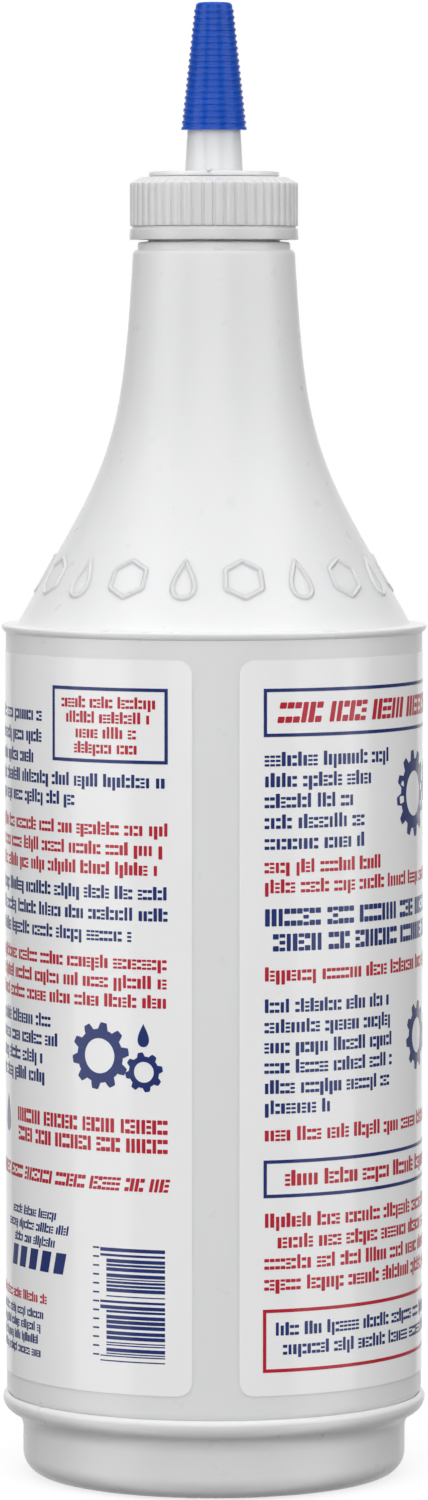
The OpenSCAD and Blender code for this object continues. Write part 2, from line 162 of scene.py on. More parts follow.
class ClosureSizes(bpy.types.PropertyGroup):
    """Sizes of the tear-off band, the collar, the spout and the tip cap"""

    band_z: length("Band Height", 246.1, "Height of the band's lower edge")
    band_top_z: length("Band Top", 248.3, "Height of the band's upper edge")
    band_t: length("Band Thickness", 1.5, "Thickness of the band")
    band_flare: length("Band Flare", 0.06, "How far the band flares out at its lower edge")
    hook_r: length("Hook Radius", 13.5, "Radius of the hook inside the band")
    hook_h: length("Hook Height", 0.8, "Height of the hook")
    collar_z: length("Collar Height", 248.8, "Height of the collar's lower edge")
    collar_top_z: length("Collar Top", 258.5, "Height of the collar's top")
    collar_r: length("Collar Radius", 16.7, "Radius of the collar over its ribs")
    collar_bore_r: length("Collar Bore", 14.15, "Radius of the collar's bore")
    collar_top_t: length("Collar Top Thickness", 1.3, "Thickness of the collar's top")
    hole_r: length("Hub Hole", 11.58, "Radius of the hole that the spout's hub turns in")
    rib_depth: length("Rib Depth", 0.45, "Depth of the grooves between the ribs")
    rib_crown: length("Rib Crown", 0.07, "How much lower a rib is at its edges than along its middle")
    rib_floor_w: length("Groove Floor", 0.3, "Width of a groove at its floor")
    rib_mouth_w: length("Groove Mouth", 0.9, "Width of a groove at its mouth")
    bevel_w: length("Bevel Width", 2.2, "Width of the bevel round the collar's top")
    bevel_h: length("Bevel Height", 1.2, "Height of that bevel")
    thread_pitch: length("Thread Pitch", 3.175, "Rise of the thread in one turn")
    thread_depth: length("Thread Depth", 0.9, "Depth of the thread")
    thread_root_w: length("Thread Root", 1.5, "Width of the thread at its root")
    thread_crest_w: length("Thread Crest", 0.6, "Width of the thread at its crest")
    thread_z: length("Thread Height", 250.38, "Height at which the bottle's thread begins")
    thread_drop: length("Thread Drop", 1.0, "How far the collar's thread lies under the bottle's")
    disc_z: length("Disc Height", 258.65, "Height of the disc's underside")
    disc_top_z: length("Disc Top", 259.6, "Height of the disc's top")
    disc_r: length("Disc Radius", 12.95, "Radius of the disc")
    hub_r: length("Hub Radius", 11.5, "Radius of the hub that the collar turns on")
    flange_r: length("Flange Radius", 12.5, "Radius of the snap flange")
    flange_z: length("Flange Height", 256.35, "Height of the snap flange's underside")
    flange_top_z: length("Flange Top", 257.15, "Height of the snap flange's top")
    plug_r: length("Plug Radius", 10.75, "Radius of the plug skirt")
    plug_in_r: length("Plug Bore", 9.75, "Radius inside the plug skirt")
    plug_z: length("Plug Height", 253.35, "Height of the plug skirt's lower edge")
    under_z: length("Disc Inside", 258.45, "Height of the disc's underside inside the plug skirt")
    spout_r: length("Spout Radius", 5.75, "Radius of the spout where it stands on the disc")
    spout_wall: length("Spout Wall", 1.15, "Wall thickness of the spout")
    spout_root_r: length("Spout Root", 0.4, "Rounding between the spout and the disc")
    spout_top_z: length("Spout Top", 290.925, "Height of the spout's open end")
    tick_w: length("Tick Width", 0.6, "Width of the index tick on the disc")
    tick_h: length("Tick Height", 0.3, "Height of the index tick")
    tick_turn: angle("Tick Direction", -94.6, "Direction of the index tick")
    tip_z: length("Cap Height", 267.8, "Height of the tip cap's lower edge")
    tip_top_z: length("Cap Top", 293.0, "Height of the tip cap's top")
    tip_r: length("Cap Radius", 6.55, "Radius of the tip cap at its lower edge")
    tip_top_r: length("Cap Top Radius", 3.75, "Radius of the tip cap at its top")
    tip_wall: length("Cap Wall", 1.0, "Wall thickness of the tip cap under its ridges")
    tip_end_t: length("Cap End", 1.5, "Thickness of the closed end")
    tip_edge_r: length("Cap Edge", 0.8, "Rounding of the top edge")
    tip_gap: length("Cap Gap", 0.08, "Gap between the tip cap and the spout")
    ridge_depth: length("Ridge Depth", 0.2, "Depth of a ridge")
    ridge_count: whole("Ridge Count", 20, 4, 40, "Number of ring ridges on the tip cap")
    rib_count: whole("Rib Count", 48, 12, 90, "Number of ribs round the collar")
    tear_web_t: length("Tear Web", 1.1, "Thickness of the tear web at the back of the slit over the band")
    tear_web_z: length("Tear Web Top", 248.75, "Height of the tear web's top")


class FinishColours(bpy.types.PropertyGroup):
    """Colours of the plastics and inks"""

    bottle: colour("Bottle", (0.82, 0.82, 0.825), "White polyethylene of the bottle")
    film: colour("Film", (0.92, 0.92, 0.925), "White film of the labels")
    closure: colour("Closure", (0.705, 0.705, 0.71), "White polypropylene of the collar and band")
    spout: colour("Spout", (0.75, 0.75, 0.755), "Milky polyethylene of the spout")
    cap: colour("Cap", (0.001, 0.078, 0.50), "Blue polyethylene of the tip cap")
    ink_blue: colour("Blue Ink", (0.004, 0.02, 0.15), "Blue printing ink")
    ink_red: colour("Red Ink", (0.48, 0.003, 0.024), "Red printing ink")
    foam: colour("Foam", (0.75, 0.75, 0.74), "Foam of the sealing ring")


class StageSettings(bpy.types.PropertyGroup):
    """Camera, lamps and floor"""

    camera_distance: length("Camera Distance", 1409, "Distance of the camera from the bottle's axis")
    camera_height: length("Camera Height", 233.4, "Height of the camera over the floor")
    camera_pitch: angle("Camera Pitch", 3.603, "How far the camera looks down")
    lens: plain("Lens", 170.0, "Focal length in millimetres")
    sky: plain("Sky", 0.62, "Brightness of the surroundings")
    floor_bounce: plain("Floor Bounce", 0.15, "How pale the floor is to the light that it throws back")
    box_glow: plain("Softbox Glow", 2.5, "How much brighter than white the softboxes look in reflections")
    flag_shade: plain("Flag Shade", 0.6, "How much darker than white the flags look in reflections")
    flag_from: angle("Flag Start", 98, "Direction of a flag's near edge, from the front")
    flag_to: angle("Flag End", 152, "Direction of a flag's far edge, from the front")
    box_edge: angle("Softbox Edge", 6, "How wide the soft edges of the softboxes and flags are")
    left_box_from: angle("Left Box Start", -84, "Direction of the left softbox's far edge, from the front")
    left_box_to: angle("Left Box End", -46.5, "Direction of the left softbox's near edge, from the front")
    right_box_from: angle("Right Box Start", 45, "Direction of the right softbox's near edge, from the front")
    right_box_to: angle("Right Box End", 84, "Direction of the right softbox's far edge, from the front")
    overhead: plain("Overhead Softbox", 15.0, "Power in watts")
    front: plain("Front Softbox", 43.0, "Power in watts")
    left: plain("Left Softbox", 1.0, "Power in watts")
    right: plain("Right Softbox", 0.7, "Power in watts")


# Profiles and grids


def arc(x, z, r, start, end, steps=10):
    """Points on an arc of radius r round (x, z), from the start angle to the end angle, in radians."""
    t = np.linspace(start, end, steps + 1)
    return np.column_stack([x + r * np.cos(t), z + r * np.sin(t)])


def smooth(x):
    """A smooth step from 0 to 1: three x squared less two x cubed."""
    return x * x * (3 - 2 * x)


def around_axis(r, t, z):
    """Points x = r cos t, y = r sin t and z, from arrays that broadcast together."""
    return np.stack(np.broadcast_arrays(r * np.cos(t), r * np.sin(t), z), -1)


def ogee(x0, z0, x1, z1, share):
    """Two tangent arcs that lead one upright wall into another, hollow first and then round."""
    turn = 2 * math.atan2(x1 - x0, z1 - z0)
    total = (z1 - z0) / math.sin(turn)
    first, second = total * share, total * (1 - share)
    return np.vstack([
        arc(x0 + first, z0, first, math.pi, math.pi - turn),
        arc(x1 - second, z1, second, -turn, 0),
    ])


def filleted(corners, steps=4):
    """Each corner (x, z, r) of an outline becomes an arc of radius r that touches both its sides."""
    c = np.array(corners, float)
    p, r = c[:, :2], c[:, 2]
    to_last = np.roll(p, 1, axis=0) - p
    to_next = np.roll(p, -1, axis=0) - p
    to_last /= np.linalg.norm(to_last, axis=1)[:, None] + 1e-12
    to_next /= np.linalg.norm(to_next, axis=1)[:, None] + 1e-12
    half = np.arccos(np.clip((to_last * to_next).sum(1), -1, 1)) / 2
    inward = to_last + to_next
    inward /= np.linalg.norm(inward, axis=1)[:, None] + 1e-12
    centre = p + inward * (r / np.sin(half))[:, None]
    sweep = math.pi / 2 - half
    t = np.linspace(-1, 1, steps + 1)[None, :] * sweep[:, None]
    side = to_next - inward * (to_next * inward).sum(1)[:, None]
    side /= np.linalg.norm(side, axis=1)[:, None] + 1e-12
    ring = -np.cos(t)[..., None] * inward[:, None] + np.sin(t)[..., None] * side[:, None]
    rounded = centre[:, None] + ring * r[:, None, None]
    return [rounded[i] if r[i] > 0 else p[i:i + 1] for i in range(len(c))]


def grid_faces(rows, columns, wrap_rows=False, wrap_columns=False):
    """Four-sided faces between the points of a grid, closed on itself where asked."""
    i = np.arange(rows if wrap_rows else rows - 1)[:, None]
    j = np.arange(columns if wrap_columns else columns - 1)[None, :]
    i1, j1 = (i + 1) % rows, (j + 1) % columns
    corners = [i * columns + j, i * columns + j1, i1 * columns + j1, i1 * columns + j]
    return np.stack(np.broadcast_arrays(*corners), -1).reshape(-1, 4)


def turned(profile, steps=AROUND, start_on_axis=False, end_on_axis=False):
    """The profile (r, z) turned round the axis: x = r cos t, y = r sin t. A pole on the axis is one point."""
    p = np.asarray(profile, float)
    ring = p[1 if start_on_axis else 0:len(p) - 1 if end_on_axis else len(p)]
    t = np.linspace(0, 2 * math.pi, steps, endpoint=False)
    points = around_axis(ring[:, :1], t, ring[:, 1:]).reshape(-1, 3)
    closed = not (start_on_axis or end_on_axis)
    faces = grid_faces(len(ring), steps, wrap_rows=closed, wrap_columns=True).tolist()
    here = np.arange(steps)
    after = (here + 1) % steps
    last = (len(ring) - 1) * steps
    for on_axis, z, first, second in (
        (start_on_axis, p[0, 1], after, here),
        (end_on_axis, p[-1, 1], last + here, last + after),
    ):
        if on_axis:
            faces += np.column_stack([np.full(steps, len(points)), first, second]).tolist()
            points = np.vstack([points, [0, 0, z]])
    return points, faces


def volume_of(points, faces):
    """Signed volume of a closed mesh: a sixth of the sum of each fan triangle's triple product."""
    total = 0.0
    for size in {len(f) for f in faces}:
        index = np.array([f for f in faces if len(f) == size])
        p = points[index]
        for k in range(1, size - 1):
            total += np.einsum("ij,ij->", p[:, 0], np.cross(p[:, k], p[:, k + 1]))
    return total / 6


def outward(points, faces):
    """The faces, turned over if the closed mesh is inside out."""
    return faces if volume_of(points, faces) > 0 else [f[::-1] for f in faces]


def joined(parts):
    """Several closed meshes as one, each with its faces outwards."""
    points, faces, offset = [], [], 0
    for part_points, part_faces in parts:
        part_faces = outward(part_points, part_faces)
        points.append(part_points)
        faces += [[k + offset for k in f] for f in part_faces]
        offset += len(part_points)
    return np.vstack(points), faces


def add_piece(name, mesh, material, body, stands_for=(), sharp=SHARP_ANGLE):
    """Makes the object, shades it smooth between its sharp edges, hands it to its body and hides the imported
    parts that it stands for.
    """
    points, faces = mesh
    data = bpy.data.meshes.new(name)
    data.from_pydata(points.tolist(), [], outward(points, faces))
    data.validate()
    data.shade_smooth()
    data.set_sharp_from_angle(angle=sharp)
    data.materials.append(material)
    data.update()
    piece = bpy.data.objects.new(name, data)
    bpy.context.scene.collection.objects.link(piece)
    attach(piece, body)
    if stands_for:
        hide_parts(*stands_for)
    return piece


def helix_ridge(root_r, crest_r, root_w, crest_w, pitch, turns, start_z, lead=0.0, steps_per_turn=72):
    """A ridge wound round the axis. Its section is a rounded trapezoid (r, z) carried up a helix:
    the angle grows evenly and z with it, and the height runs out smoothly at both ends."""
    sink = 0.2 * MM * (1 if root_r > crest_r else -1)
    n = int(turns * steps_per_turn) + 1
    along = np.linspace(0, 1, n)
    run, least = 0.1, 0.04
    height = least + (1 - least) * smooth(np.clip(np.minimum(along, 1 - along) / run, 0, 1))
    across = np.array([-1, -1, -0.85, -0.5, 0, 0.5, 0.85, 1, 1])
    up = np.array([-0.25, 0, 0.8, 1, 1.02, 1, 0.8, 0, -0.25])
    half = np.interp(np.abs(up), [0, 1.02], [root_w / 2, crest_w / 2])
    section_z = np.sign(across) * np.where(np.abs(across) < 0.9, half * np.abs(across) / 0.85, half)
    r = root_r + sink * (up < 0) + (crest_r - root_r) * np.clip(up, 0, None) * height[:, None]
    z = start_z + pitch * turns * along[:, None] + section_z[None, :]
    t = 2 * math.pi * (lead + turns * along)[:, None]
    k = len(across)
    faces = grid_faces(n, k, wrap_columns=True).tolist()
    faces += [list(range(k))[::-1], list(range((n - 1) * k, n * k))]
    return around_axis(r, t, z).reshape(-1, 3), faces


def rounded_block(low, high, bevel):
    """A closed block with its upright edges rounded, from its lowest to its highest corner."""
    (x0, y0, z0), (x1, y1, z1) = low, high
    k = 16
    t = np.linspace(0, 2 * math.pi, k, endpoint=False) + math.pi / k
    cx = np.where(np.cos(t) > 0, x1 - bevel, x0 + bevel)
    cy = np.where(np.sin(t) > 0, y1 - bevel, y0 + bevel)
    ring = np.column_stack([cx + bevel * np.cos(t), cy + bevel * np.sin(t)])
    inner = np.column_stack([cx + 0.4 * bevel * np.cos(t), cy + 0.4 * bevel * np.sin(t)])
    levels = [(ring, z0), (ring, z1 - 0.6 * bevel), (inner, z1)]
    points = np.vstack([np.column_stack([outline, np.full(k, z)]) for outline, z in levels])
    faces = grid_faces(len(levels), k, wrap_columns=True).tolist()
    faces += [list(range(k))[::-1], list(range(2 * k, 3 * k))]
    return points, faces


def spun(mesh, turn):
    """The mesh turned round the axis."""
    points, faces = mesh
    c, s = math.cos(turn), math.sin(turn)
    return points @ np.array([[c, s, 0], [-s, c, 0], [0, 0, 1]]), faces


# Materials


def add_node(tree, kind, inputs=None, **settings):
    """A shader node with its settings. Each input is set to a plain value or linked to a socket."""
    node = tree.nodes.new("ShaderNode" + kind)
    for name, value in settings.items():
        setattr(node, name, value)
    for name, value in (inputs or {}).items():
        if isinstance(value, bpy.types.NodeSocket):
            tree.links.new(value, node.inputs[name])
        else:
            node.inputs[name].default_value = value
    return node


def feed_shader(material, socket, output):
    """Links an output to a socket of the material's shader."""
    tree = material.node_tree
    tree.links.new(output, tree.nodes["Principled BSDF"].inputs[socket])


def new_material(name, base, roughness, **sockets):
    """A Principled material with its plain values set on the shader's own sockets."""
    material = bpy.data.materials.new(name)
    material.use_nodes = True
    shader = material.node_tree.nodes["Principled BSDF"]
    shader.inputs["Base Color"].default_value = (*base, 1)
    shader.inputs["Roughness"].default_value = roughness
    for socket, value in sockets.items():
        shader.inputs[socket.replace("_", " ")].default_value = value
    return material


def add_noise(material, scale, detail=3.0, stretch=(1, 1, 1)):
    """A noise texture on Object coordinates, stretched along an axis where asked."""
    tree = material.node_tree
    place = add_node(tree, "TexCoord").outputs["Object"]
    mapping = add_node(tree, "Mapping", {"Vector": place, "Scale": stretch})
    return add_node(
        tree, "TexNoise", {"Vector": mapping.outputs["Vector"], "Scale": scale, "Detail": detail}
    ).outputs["Fac"]


def vary_colour(material, base, spread, scale, stretch=(1, 1, 1)):
    """Lets the base colour drift a little lighter and darker over the surface."""
    ramp = add_node(material.node_tree, "ValToRGB", {"Fac": add_noise(material, scale, 4, stretch)})
    low, high = ramp.color_ramp.elements
    low.position, high.position = NOISE_SPAN
    low.color = (*[c * (1 - spread) for c in base], 1)
    high.color = (*[min(1, c * (1 + spread)) for c in base], 1)
    feed_shader(material, "Base Color", ramp.outputs["Color"])


def vary_roughness(material, low, high, scale):
    """Lets the roughness drift between two values over the surface."""
    span = add_node(material.node_tree, "MapRange", {
        "Value": add_noise(material, scale), "From Min": NOISE_SPAN[0], "From Max": NOISE_SPAN[1],
        "To Min": low, "To Max": high,
    })
    feed_shader(material, "Roughness", span.outputs["Result"])


def add_bump(material, layers):
    """Stacks bumps, each given as (height, distance, strength), the coarse one first."""
    tree = material.node_tree
    below = {}
    for height, distance, strength in layers:
        bump = add_node(tree, "Bump", {"Height": height, "Distance": distance, "Strength": strength, **below})
        below = {"Normal": bump.outputs["Normal"]}
    feed_shader(material, "Normal", below["Normal"])


def blown_plastic(colours):
    """Blow-moulded polyethylene: soft gloss, long faint flow streaks and a fine orange peel."""
    m = new_material(
        "blown_polyethylene", colours.bottle, 0.32, Specular_IOR_Level=0.28,
        Subsurface_Weight=0.35, Subsurface_Radius=(1.1, 1.05, 1.0), Subsurface_Scale=0.0025,
    )
    vary_colour(m, colours.bottle, 0.012, 60, stretch=(1, 1, 0.25))
    vary_roughness(m, 0.27, 0.34, 220)
    add_bump(m, [
        (add_noise(m, 45, 2, stretch=(1, 1, 0.4)), 0.0006, 0.10),
        (add_noise(m, 1500, 2), 0.00004, 0.25),
    ])
    return m


def film_plastic(colours):
    """Glossy label film with the faint waviness that it takes from the wall under it."""
    m = new_material("label_film", colours.film, 0.12, Specular_IOR_Level=0.27)
    vary_colour(m, colours.film, 0.008, 90)
    vary_roughness(m, 0.10, 0.15, 300)
    add_bump(m, [
        (add_noise(m, 60, 2), 0.0004, 0.06),
        (add_noise(m, 2200, 1), 0.00002, 0.15),
    ])
    return m


def ink(name, base, colours):
    """Printing ink on film: even, with a fine screen of slightly paler spots."""
    m = new_material(name, base, 0.14, Specular_IOR_Level=0.18)
    paler = [b + (f - b) * 0.015 for b, f in zip(base, colours.film)]
    vary_colour(m, [(b + p) / 2 for b, p in zip(base, paler)], 0.10, 1800)
    vary_roughness(m, 0.12, 0.17, 900)
    return m


def closure_plastic(colours):
    """Injection-moulded polypropylene: satin gloss, fine spark-eroded grain and faint sink marks."""
    m = new_material(
        "moulded_polypropylene", colours.closure, 0.22, Specular_IOR_Level=0.32,
        Subsurface_Weight=0.5, Subsurface_Radius=(1.05, 1.0, 0.95), Subsurface_Scale=0.002,
    )
    vary_colour(m, colours.closure, 0.012, 150)
    vary_roughness(m, 0.18, 0.26, 400)
    add_bump(m, [
        (add_noise(m, 160, 2), 0.0002, 0.08),
        (add_noise(m, 2600, 2), 0.00003, 0.25),
    ])
    return m


def spout_plastic(colours):
    """Milky low-density polyethylene that lets some light in."""
    m = new_material(
        "milky_polyethylene", colours.spout, 0.22, Specular_IOR_Level=0.35,
        Subsurface_Weight=0.65, Subsurface_Radius=(1.6, 1.5, 1.4), Subsurface_Scale=0.002,
    )
    vary_colour(m, colours.spout, 0.015, 200, stretch=(1, 1, 0.2))
    vary_roughness(m, 0.18, 0.26, 500)
    add_bump(m, [(add_noise(m, 2400, 2), 0.00003, 0.2)])
    return m


def cap_plastic(colours):
    """Blue satin polyethylene with a fine grain, its colour drifting a little paler and darker over the
    surface.
    """
    m = new_material(
        "blue_polyethylene", colours.cap, 0.09, Specular_IOR_Level=0.16,
        Subsurface_Weight=0.5, Subsurface_Radius=(0.6, 0.8, 1.2), Subsurface_Scale=0.0008,
    )
    vary_colour(m, colours.cap, 0.07, 420, stretch=(1, 1, 0.5))
    vary_roughness(m, 0.07, 0.11, 700)
    add_bump(m, [(add_noise(m, 2800, 2), 0.00003, 0.25)])
    return m


def foam_liner(colours):
    """Closed-cell foam: a mat of tiny cells."""
    m = new_material("foam_liner", colours.foam, 0.8)
    place = add_node(m.node_tree, "TexCoord").outputs["Object"]
    cells = add_node(m.node_tree, "TexVoronoi", {"Vector": place, "Scale": 3500})
    vary_colour(m, colours.foam, 0.05, 700)
    add_bump(m, [(cells.outputs["Distance"], 0.0001, 0.5)])
    return m


@functools.cache
def material_for(maker):
    """The material that the maker gives, made once."""
    return maker(bpy.context.scene.finish_colours)


def blue_ink(colours):
    """Blue ink of the labels."""
    return ink("blue_ink", colours.ink_blue, colours)


def red_ink(colours):
    """Red ink of the labels."""
    return ink("red_ink", colours.ink_red, colours)


# The bottle


def flare(s, inset, steps=48):
    """The cubic curve from the shoulder's cone into the neck, drawn in towards the axis by the inset."""
    t = np.linspace(0, 1, steps + 1)[:, None]
    low = np.array([s.cone_r - (s.flare_z - s.bead_top_z) * math.tan(s.cone_angle), s.flare_z])
    high = np.array([s.waist_out_r, s.waist_z])
    low_pull = low + s.flare_pull_low * np.array([-math.sin(s.cone_angle), math.cos(s.cone_angle)])
    high_pull = high - s.flare_pull_high * np.array([-math.sin(s.waist_angle), math.cos(s.waist_angle)])
    u = 1 - t
    curve = u ** 3 * low + 3 * u * u * t * low_pull + 3 * u * t * t * high_pull + t ** 3 * high
    return curve - [inset, 0]


def dome(s, floor_z):
    """The hollow under the base: half a cosine wave from the middle out to the standing ring."""
    t = np.linspace(0, 1, 17)
    ring_in_r = s.foot_r - s.heel_r - s.ring_w
    return np.column_stack([ring_in_r * t, floor_z + s.push_up * (1 + np.cos(math.pi * t)) / 2])


def shell_outside(s):
    """Outside of the bottle, from the middle of the base to the rim."""
    bead_turn = math.acos(1 - (s.bead_out_r - s.panel_r) / s.bead_r)
    edge_turn = math.acos(1 - (s.panel_r - s.groove_r) / s.panel_edge_r)
    quarter = math.pi / 2
    step_out_r = s.waist_out_r - s.waist_r
    panel_z = np.linspace(s.groove_z + 2 * s.panel_edge_r, s.bead_top_z - 4 * MM, 3)
    groove_r, groove_from, groove_to = 0.15 * MM, -1.9, -3.4
    return np.vstack([
        dome(s, 0),
        arc(s.foot_r - s.heel_r, s.heel_r, s.heel_r, -quarter, 0, 16),
        ogee(s.foot_r, s.foot_wall_h, s.lip_r, s.lip_z - s.lip_edge_r, 0.55),
        arc(s.lip_r - s.lip_edge_r, s.lip_z - s.lip_edge_r, s.lip_edge_r, 0, quarter, 10),
        arc(s.groove_r + groove_r, s.groove_z + groove_r, groove_r, groove_from, groove_to, 4),
        arc(s.panel_r - s.panel_edge_r, s.groove_z + s.panel_edge_r, s.panel_edge_r, -edge_turn + 0.1, 0, 12),
        np.column_stack([np.full(3, s.panel_r), panel_z]),
        arc(s.bead_out_r - s.bead_r, s.bead_top_z - s.bead_edge_r, s.bead_r, -bead_turn, 0, 12),
        arc(s.bead_out_r - s.bead_edge_r, s.bead_top_z - s.bead_edge_r, s.bead_edge_r, 0, quarter, 6),
        [[s.cone_r + 0.3 * MM, s.bead_top_z], [s.cone_r + 0.06 * MM, s.bead_top_z + 0.08 * MM]],
        [[s.cone_r - 0.2 * MM, s.bead_top_z + 0.4 * MM]],
        flare(s, 0),
        arc(step_out_r, s.waist_z, s.waist_r, 0.06, quarter, 8),
        arc(step_out_r - s.step_r, s.step_z - s.step_r, s.step_r, 0, quarter, 6),
        [[s.neck_r + 0.1 * MM, s.neck_top_z - 0.02 * MM], [s.neck_r, s.neck_top_z + 0.1 * MM]],
        [[s.neck_r, s.catch_z], [s.catch_r - 0.12 * MM, s.catch_z], [s.catch_r, s.catch_z + 0.12 * MM]],
        [[s.catch_r, s.catch_z + s.catch_edge_h], [s.finish_r, s.catch_top_z]],
        arc(s.finish_r - s.rim_r, s.rim_z - s.rim_r, s.rim_r, 0, quarter, 6),
    ])


def shell_inside(s):
    """Inside of the bottle, from the rim down to the middle of the base."""
    quarter = math.pi / 2
    corner_r = 2 * s.wall
    inset = s.panel_r - s.cone_r
    corner_drop = corner_r + math.cos(s.cone_angle) * (inset - corner_r)
    corner_z = s.bead_top_z - corner_drop / math.sin(s.cone_angle)
    neck_z = s.neck_top_z - s.wall
    waist_in_r = s.waist_out_r - s.wall
    panel_in_r = s.panel_r - s.wall
    return np.vstack([
        arc(s.mouth_r + s.rim_r, s.rim_z - s.rim_r, s.rim_r, quarter, math.pi, 6),
        [[s.mouth_r, neck_z], [waist_in_r, neck_z - (waist_in_r - s.mouth_r)]],
        flare(s, s.wall)[-8::-1],
        arc(panel_in_r - corner_r, corner_z, corner_r, s.cone_angle, 0, 8),
        ogee(s.foot_r - s.wall, s.foot_wall_h, panel_in_r, s.groove_z + 2 * s.panel_edge_r, 0.5)[::-1],
        arc(s.foot_r - s.heel_r, s.heel_r, s.heel_r - s.wall, 0, -quarter, 12),
        dome(s, s.wall)[::-1],
    ])


def drop_outline(t):
    """A drop of unit height, pointed at the top: x = 0.36 sin t sin(t/2)^1.4 and y = 0.5 cos t."""
    return 0.36 * np.sin(t) * np.sin(t / 2) ** 1.4, 0.5 * np.cos(t)


def relief_outline(kind, count=96):
    """One closed figure in a unit square, by its angle: a drop, or a six-sided nut whose radius is
    the flat's distance over the cosine of the angle from it, cut off at the rounded corners."""
    t = np.linspace(0, 2 * math.pi, count, endpoint=False)
    if kind == "drop":
        return np.column_stack(drop_outline(t))
    wedge = (t + math.pi / 6) % (math.pi / 3) - math.pi / 6
    r = 0.5 * math.cos(math.pi / 6) / np.cos(wedge)
    r = np.minimum(r, 0.487)
    return np.column_stack([r * np.cos(t), r * np.sin(t)])


def relief_figure(s, kind, turn):
    """A raised line that runs round the figure on the shoulder's cone. Its section is a raised
    cosine: height = (1 + cos u) / 2 across the line, over a flat foot that is sunk in the wall."""
    outline = relief_outline(kind) * s.relief_h
    ahead = np.roll(outline, -1, axis=0) - np.roll(outline, 1, axis=0)
    ahead /= np.linalg.norm(ahead, axis=1)[:, None]
    side = np.column_stack([ahead[:, 1], -ahead[:, 0]])
    u = np.concatenate([np.linspace(-1, 1, 9), [1, -1]])
    lift = np.concatenate([(1 + np.cos(math.pi * np.linspace(-1, 1, 9))) / 2, [-0.7, -0.7]]) * s.relief_line_t
    lift = np.where(lift > 0, lift, lift - 0.01 * MM)
    flat = outline[:, None] + side[:, None] * (u * s.relief_line_w / 2)[None, :, None]
    along, up = flat[..., 0], flat[..., 1]
    sin_c, cos_c = math.sin(s.cone_angle), math.cos(s.cone_angle)
    base_r = s.cone_r - (s.relief_z - s.bead_top_z) * math.tan(s.cone_angle)
    r = base_r - up * sin_c + lift * cos_c
    z = s.relief_z + up * cos_c + lift * sin_c
    faces = grid_faces(len(outline), len(u), wrap_rows=True, wrap_columns=True).tolist()
    return around_axis(r, turn + along / base_r, z).reshape(-1, 3), faces


# Labels and print


def cylinder_points(s, z, r):
    """Points at a distance s round the girth from the front, at height z and radius r."""
    face_r = bpy.context.scene.label_sizes.outer_r
    return around_axis(r, s / face_r - math.pi / 2, z)


def wrapped_shell(s, z, outer_r, inner_r):
    """A closed thin shell over a grid of distances s round the girth and heights z. Its face lies at
    the outer radius and its back at the inner one, and a rim joins them along the grid's edge."""
    count = s.size
    points = np.vstack([cylinder_points(s, z, r).reshape(-1, 3) for r in (outer_r, inner_r)])
    front = grid_faces(*s.shape)
    index = np.arange(count).reshape(s.shape)
    loop = np.concatenate([index[0, :], index[1:, -1], index[-1, -2::-1], index[-2:0:-1, 0]])
    after = np.roll(loop, -1)
    rim = np.column_stack([loop, loop + count, after + count, after])
    return points, np.vstack([front, front[:, ::-1] + count, rim]).tolist()


def film(sizes, middle, columns=180, rows_in_corner=10, rows=24):
    """A thin shell wrapped on a cylinder. Its rows run from edge to edge, and near the top and the
    bottom their half width follows the corner's circle: w - r + sqrt(r^2 - (r - d)^2)."""
    half = sizes.outer_r * math.pi / 2 - sizes.gap / 2
    t = np.linspace(0, math.pi / 2, rows_in_corner)
    d = sizes.corner_r * (1 - np.cos(t))
    z = np.concatenate([
        sizes.low_z + d,
        np.linspace(sizes.low_z + sizes.corner_r, sizes.high_z - sizes.corner_r, rows)[1:-1],
        (sizes.high_z - d)[::-1],
    ])
    depth = np.minimum(np.minimum(z - sizes.low_z, sizes.high_z - z), sizes.corner_r)
    past_corner = sizes.corner_r - depth
    width = half - sizes.corner_r + np.sqrt(np.maximum(sizes.corner_r ** 2 - past_corner ** 2, 0))
    u = np.linspace(-1, 1, columns)
    s = middle * sizes.outer_r + u[None, :] * width[:, None]
    return wrapped_shell(s, z[:, None] + np.zeros_like(s), sizes.outer_r, sizes.inner_r)


def blocks(s, z, width, height, corner, slant=0.0, foot_z=0.0):
    """Many rounded blocks of ink at once. Each outline point is its corner's centre plus an arc of
    the corner's radius, leaned over by the slant from the foot up, and as thick as the ink."""
    s, z, width, height = np.atleast_1d(*np.broadcast_arrays(s, z, width, height))
    corner = np.minimum(corner, 0.49 * np.minimum(width, height))
    quarter = np.arange(4).repeat(CORNER_STEPS)
    t = math.pi / 2 * (quarter + np.tile(np.linspace(0, 1, CORNER_STEPS), 4))
    sign_s = np.where((quarter == 0) | (quarter == 3), 1, -1)
    sign_z = np.where(quarter < 2, 1, -1)
    up = sign_z * (height / 2 - corner)[:, None] + corner[:, None] * np.sin(t)
    across = sign_s * (width / 2 - corner)[:, None] + corner[:, None] * np.cos(t)
    lean = slant * (z[:, None] + up - foot_z) if slant else 0
    return patches(s[:, None] + across + lean, z[:, None] + up)


def patches(s, z):
    """Closed thin plates of ink from outlines on the label, one outline in each row."""
    label = bpy.context.scene.label_sizes
    count, k = s.shape
    top = cylinder_points(s, z, label.outer_r + PRINT_LIFT + PRINT_THICKNESS)
    low = cylinder_points(s, z, label.outer_r + PRINT_LIFT)
    points = np.concatenate([top, low], axis=1).reshape(-1, 3)
    first = 2 * k * np.arange(count)[:, None]
    j = np.arange(k)
    face = first + j
    back = first + k + j[::-1]
    rim = np.stack([
        first + j, first + k + j, first + k + (j + 1) % k, first + (j + 1) % k
    ], -1).reshape(-1, 4)
    return points, face.tolist() + back.tolist() + rim.tolist()


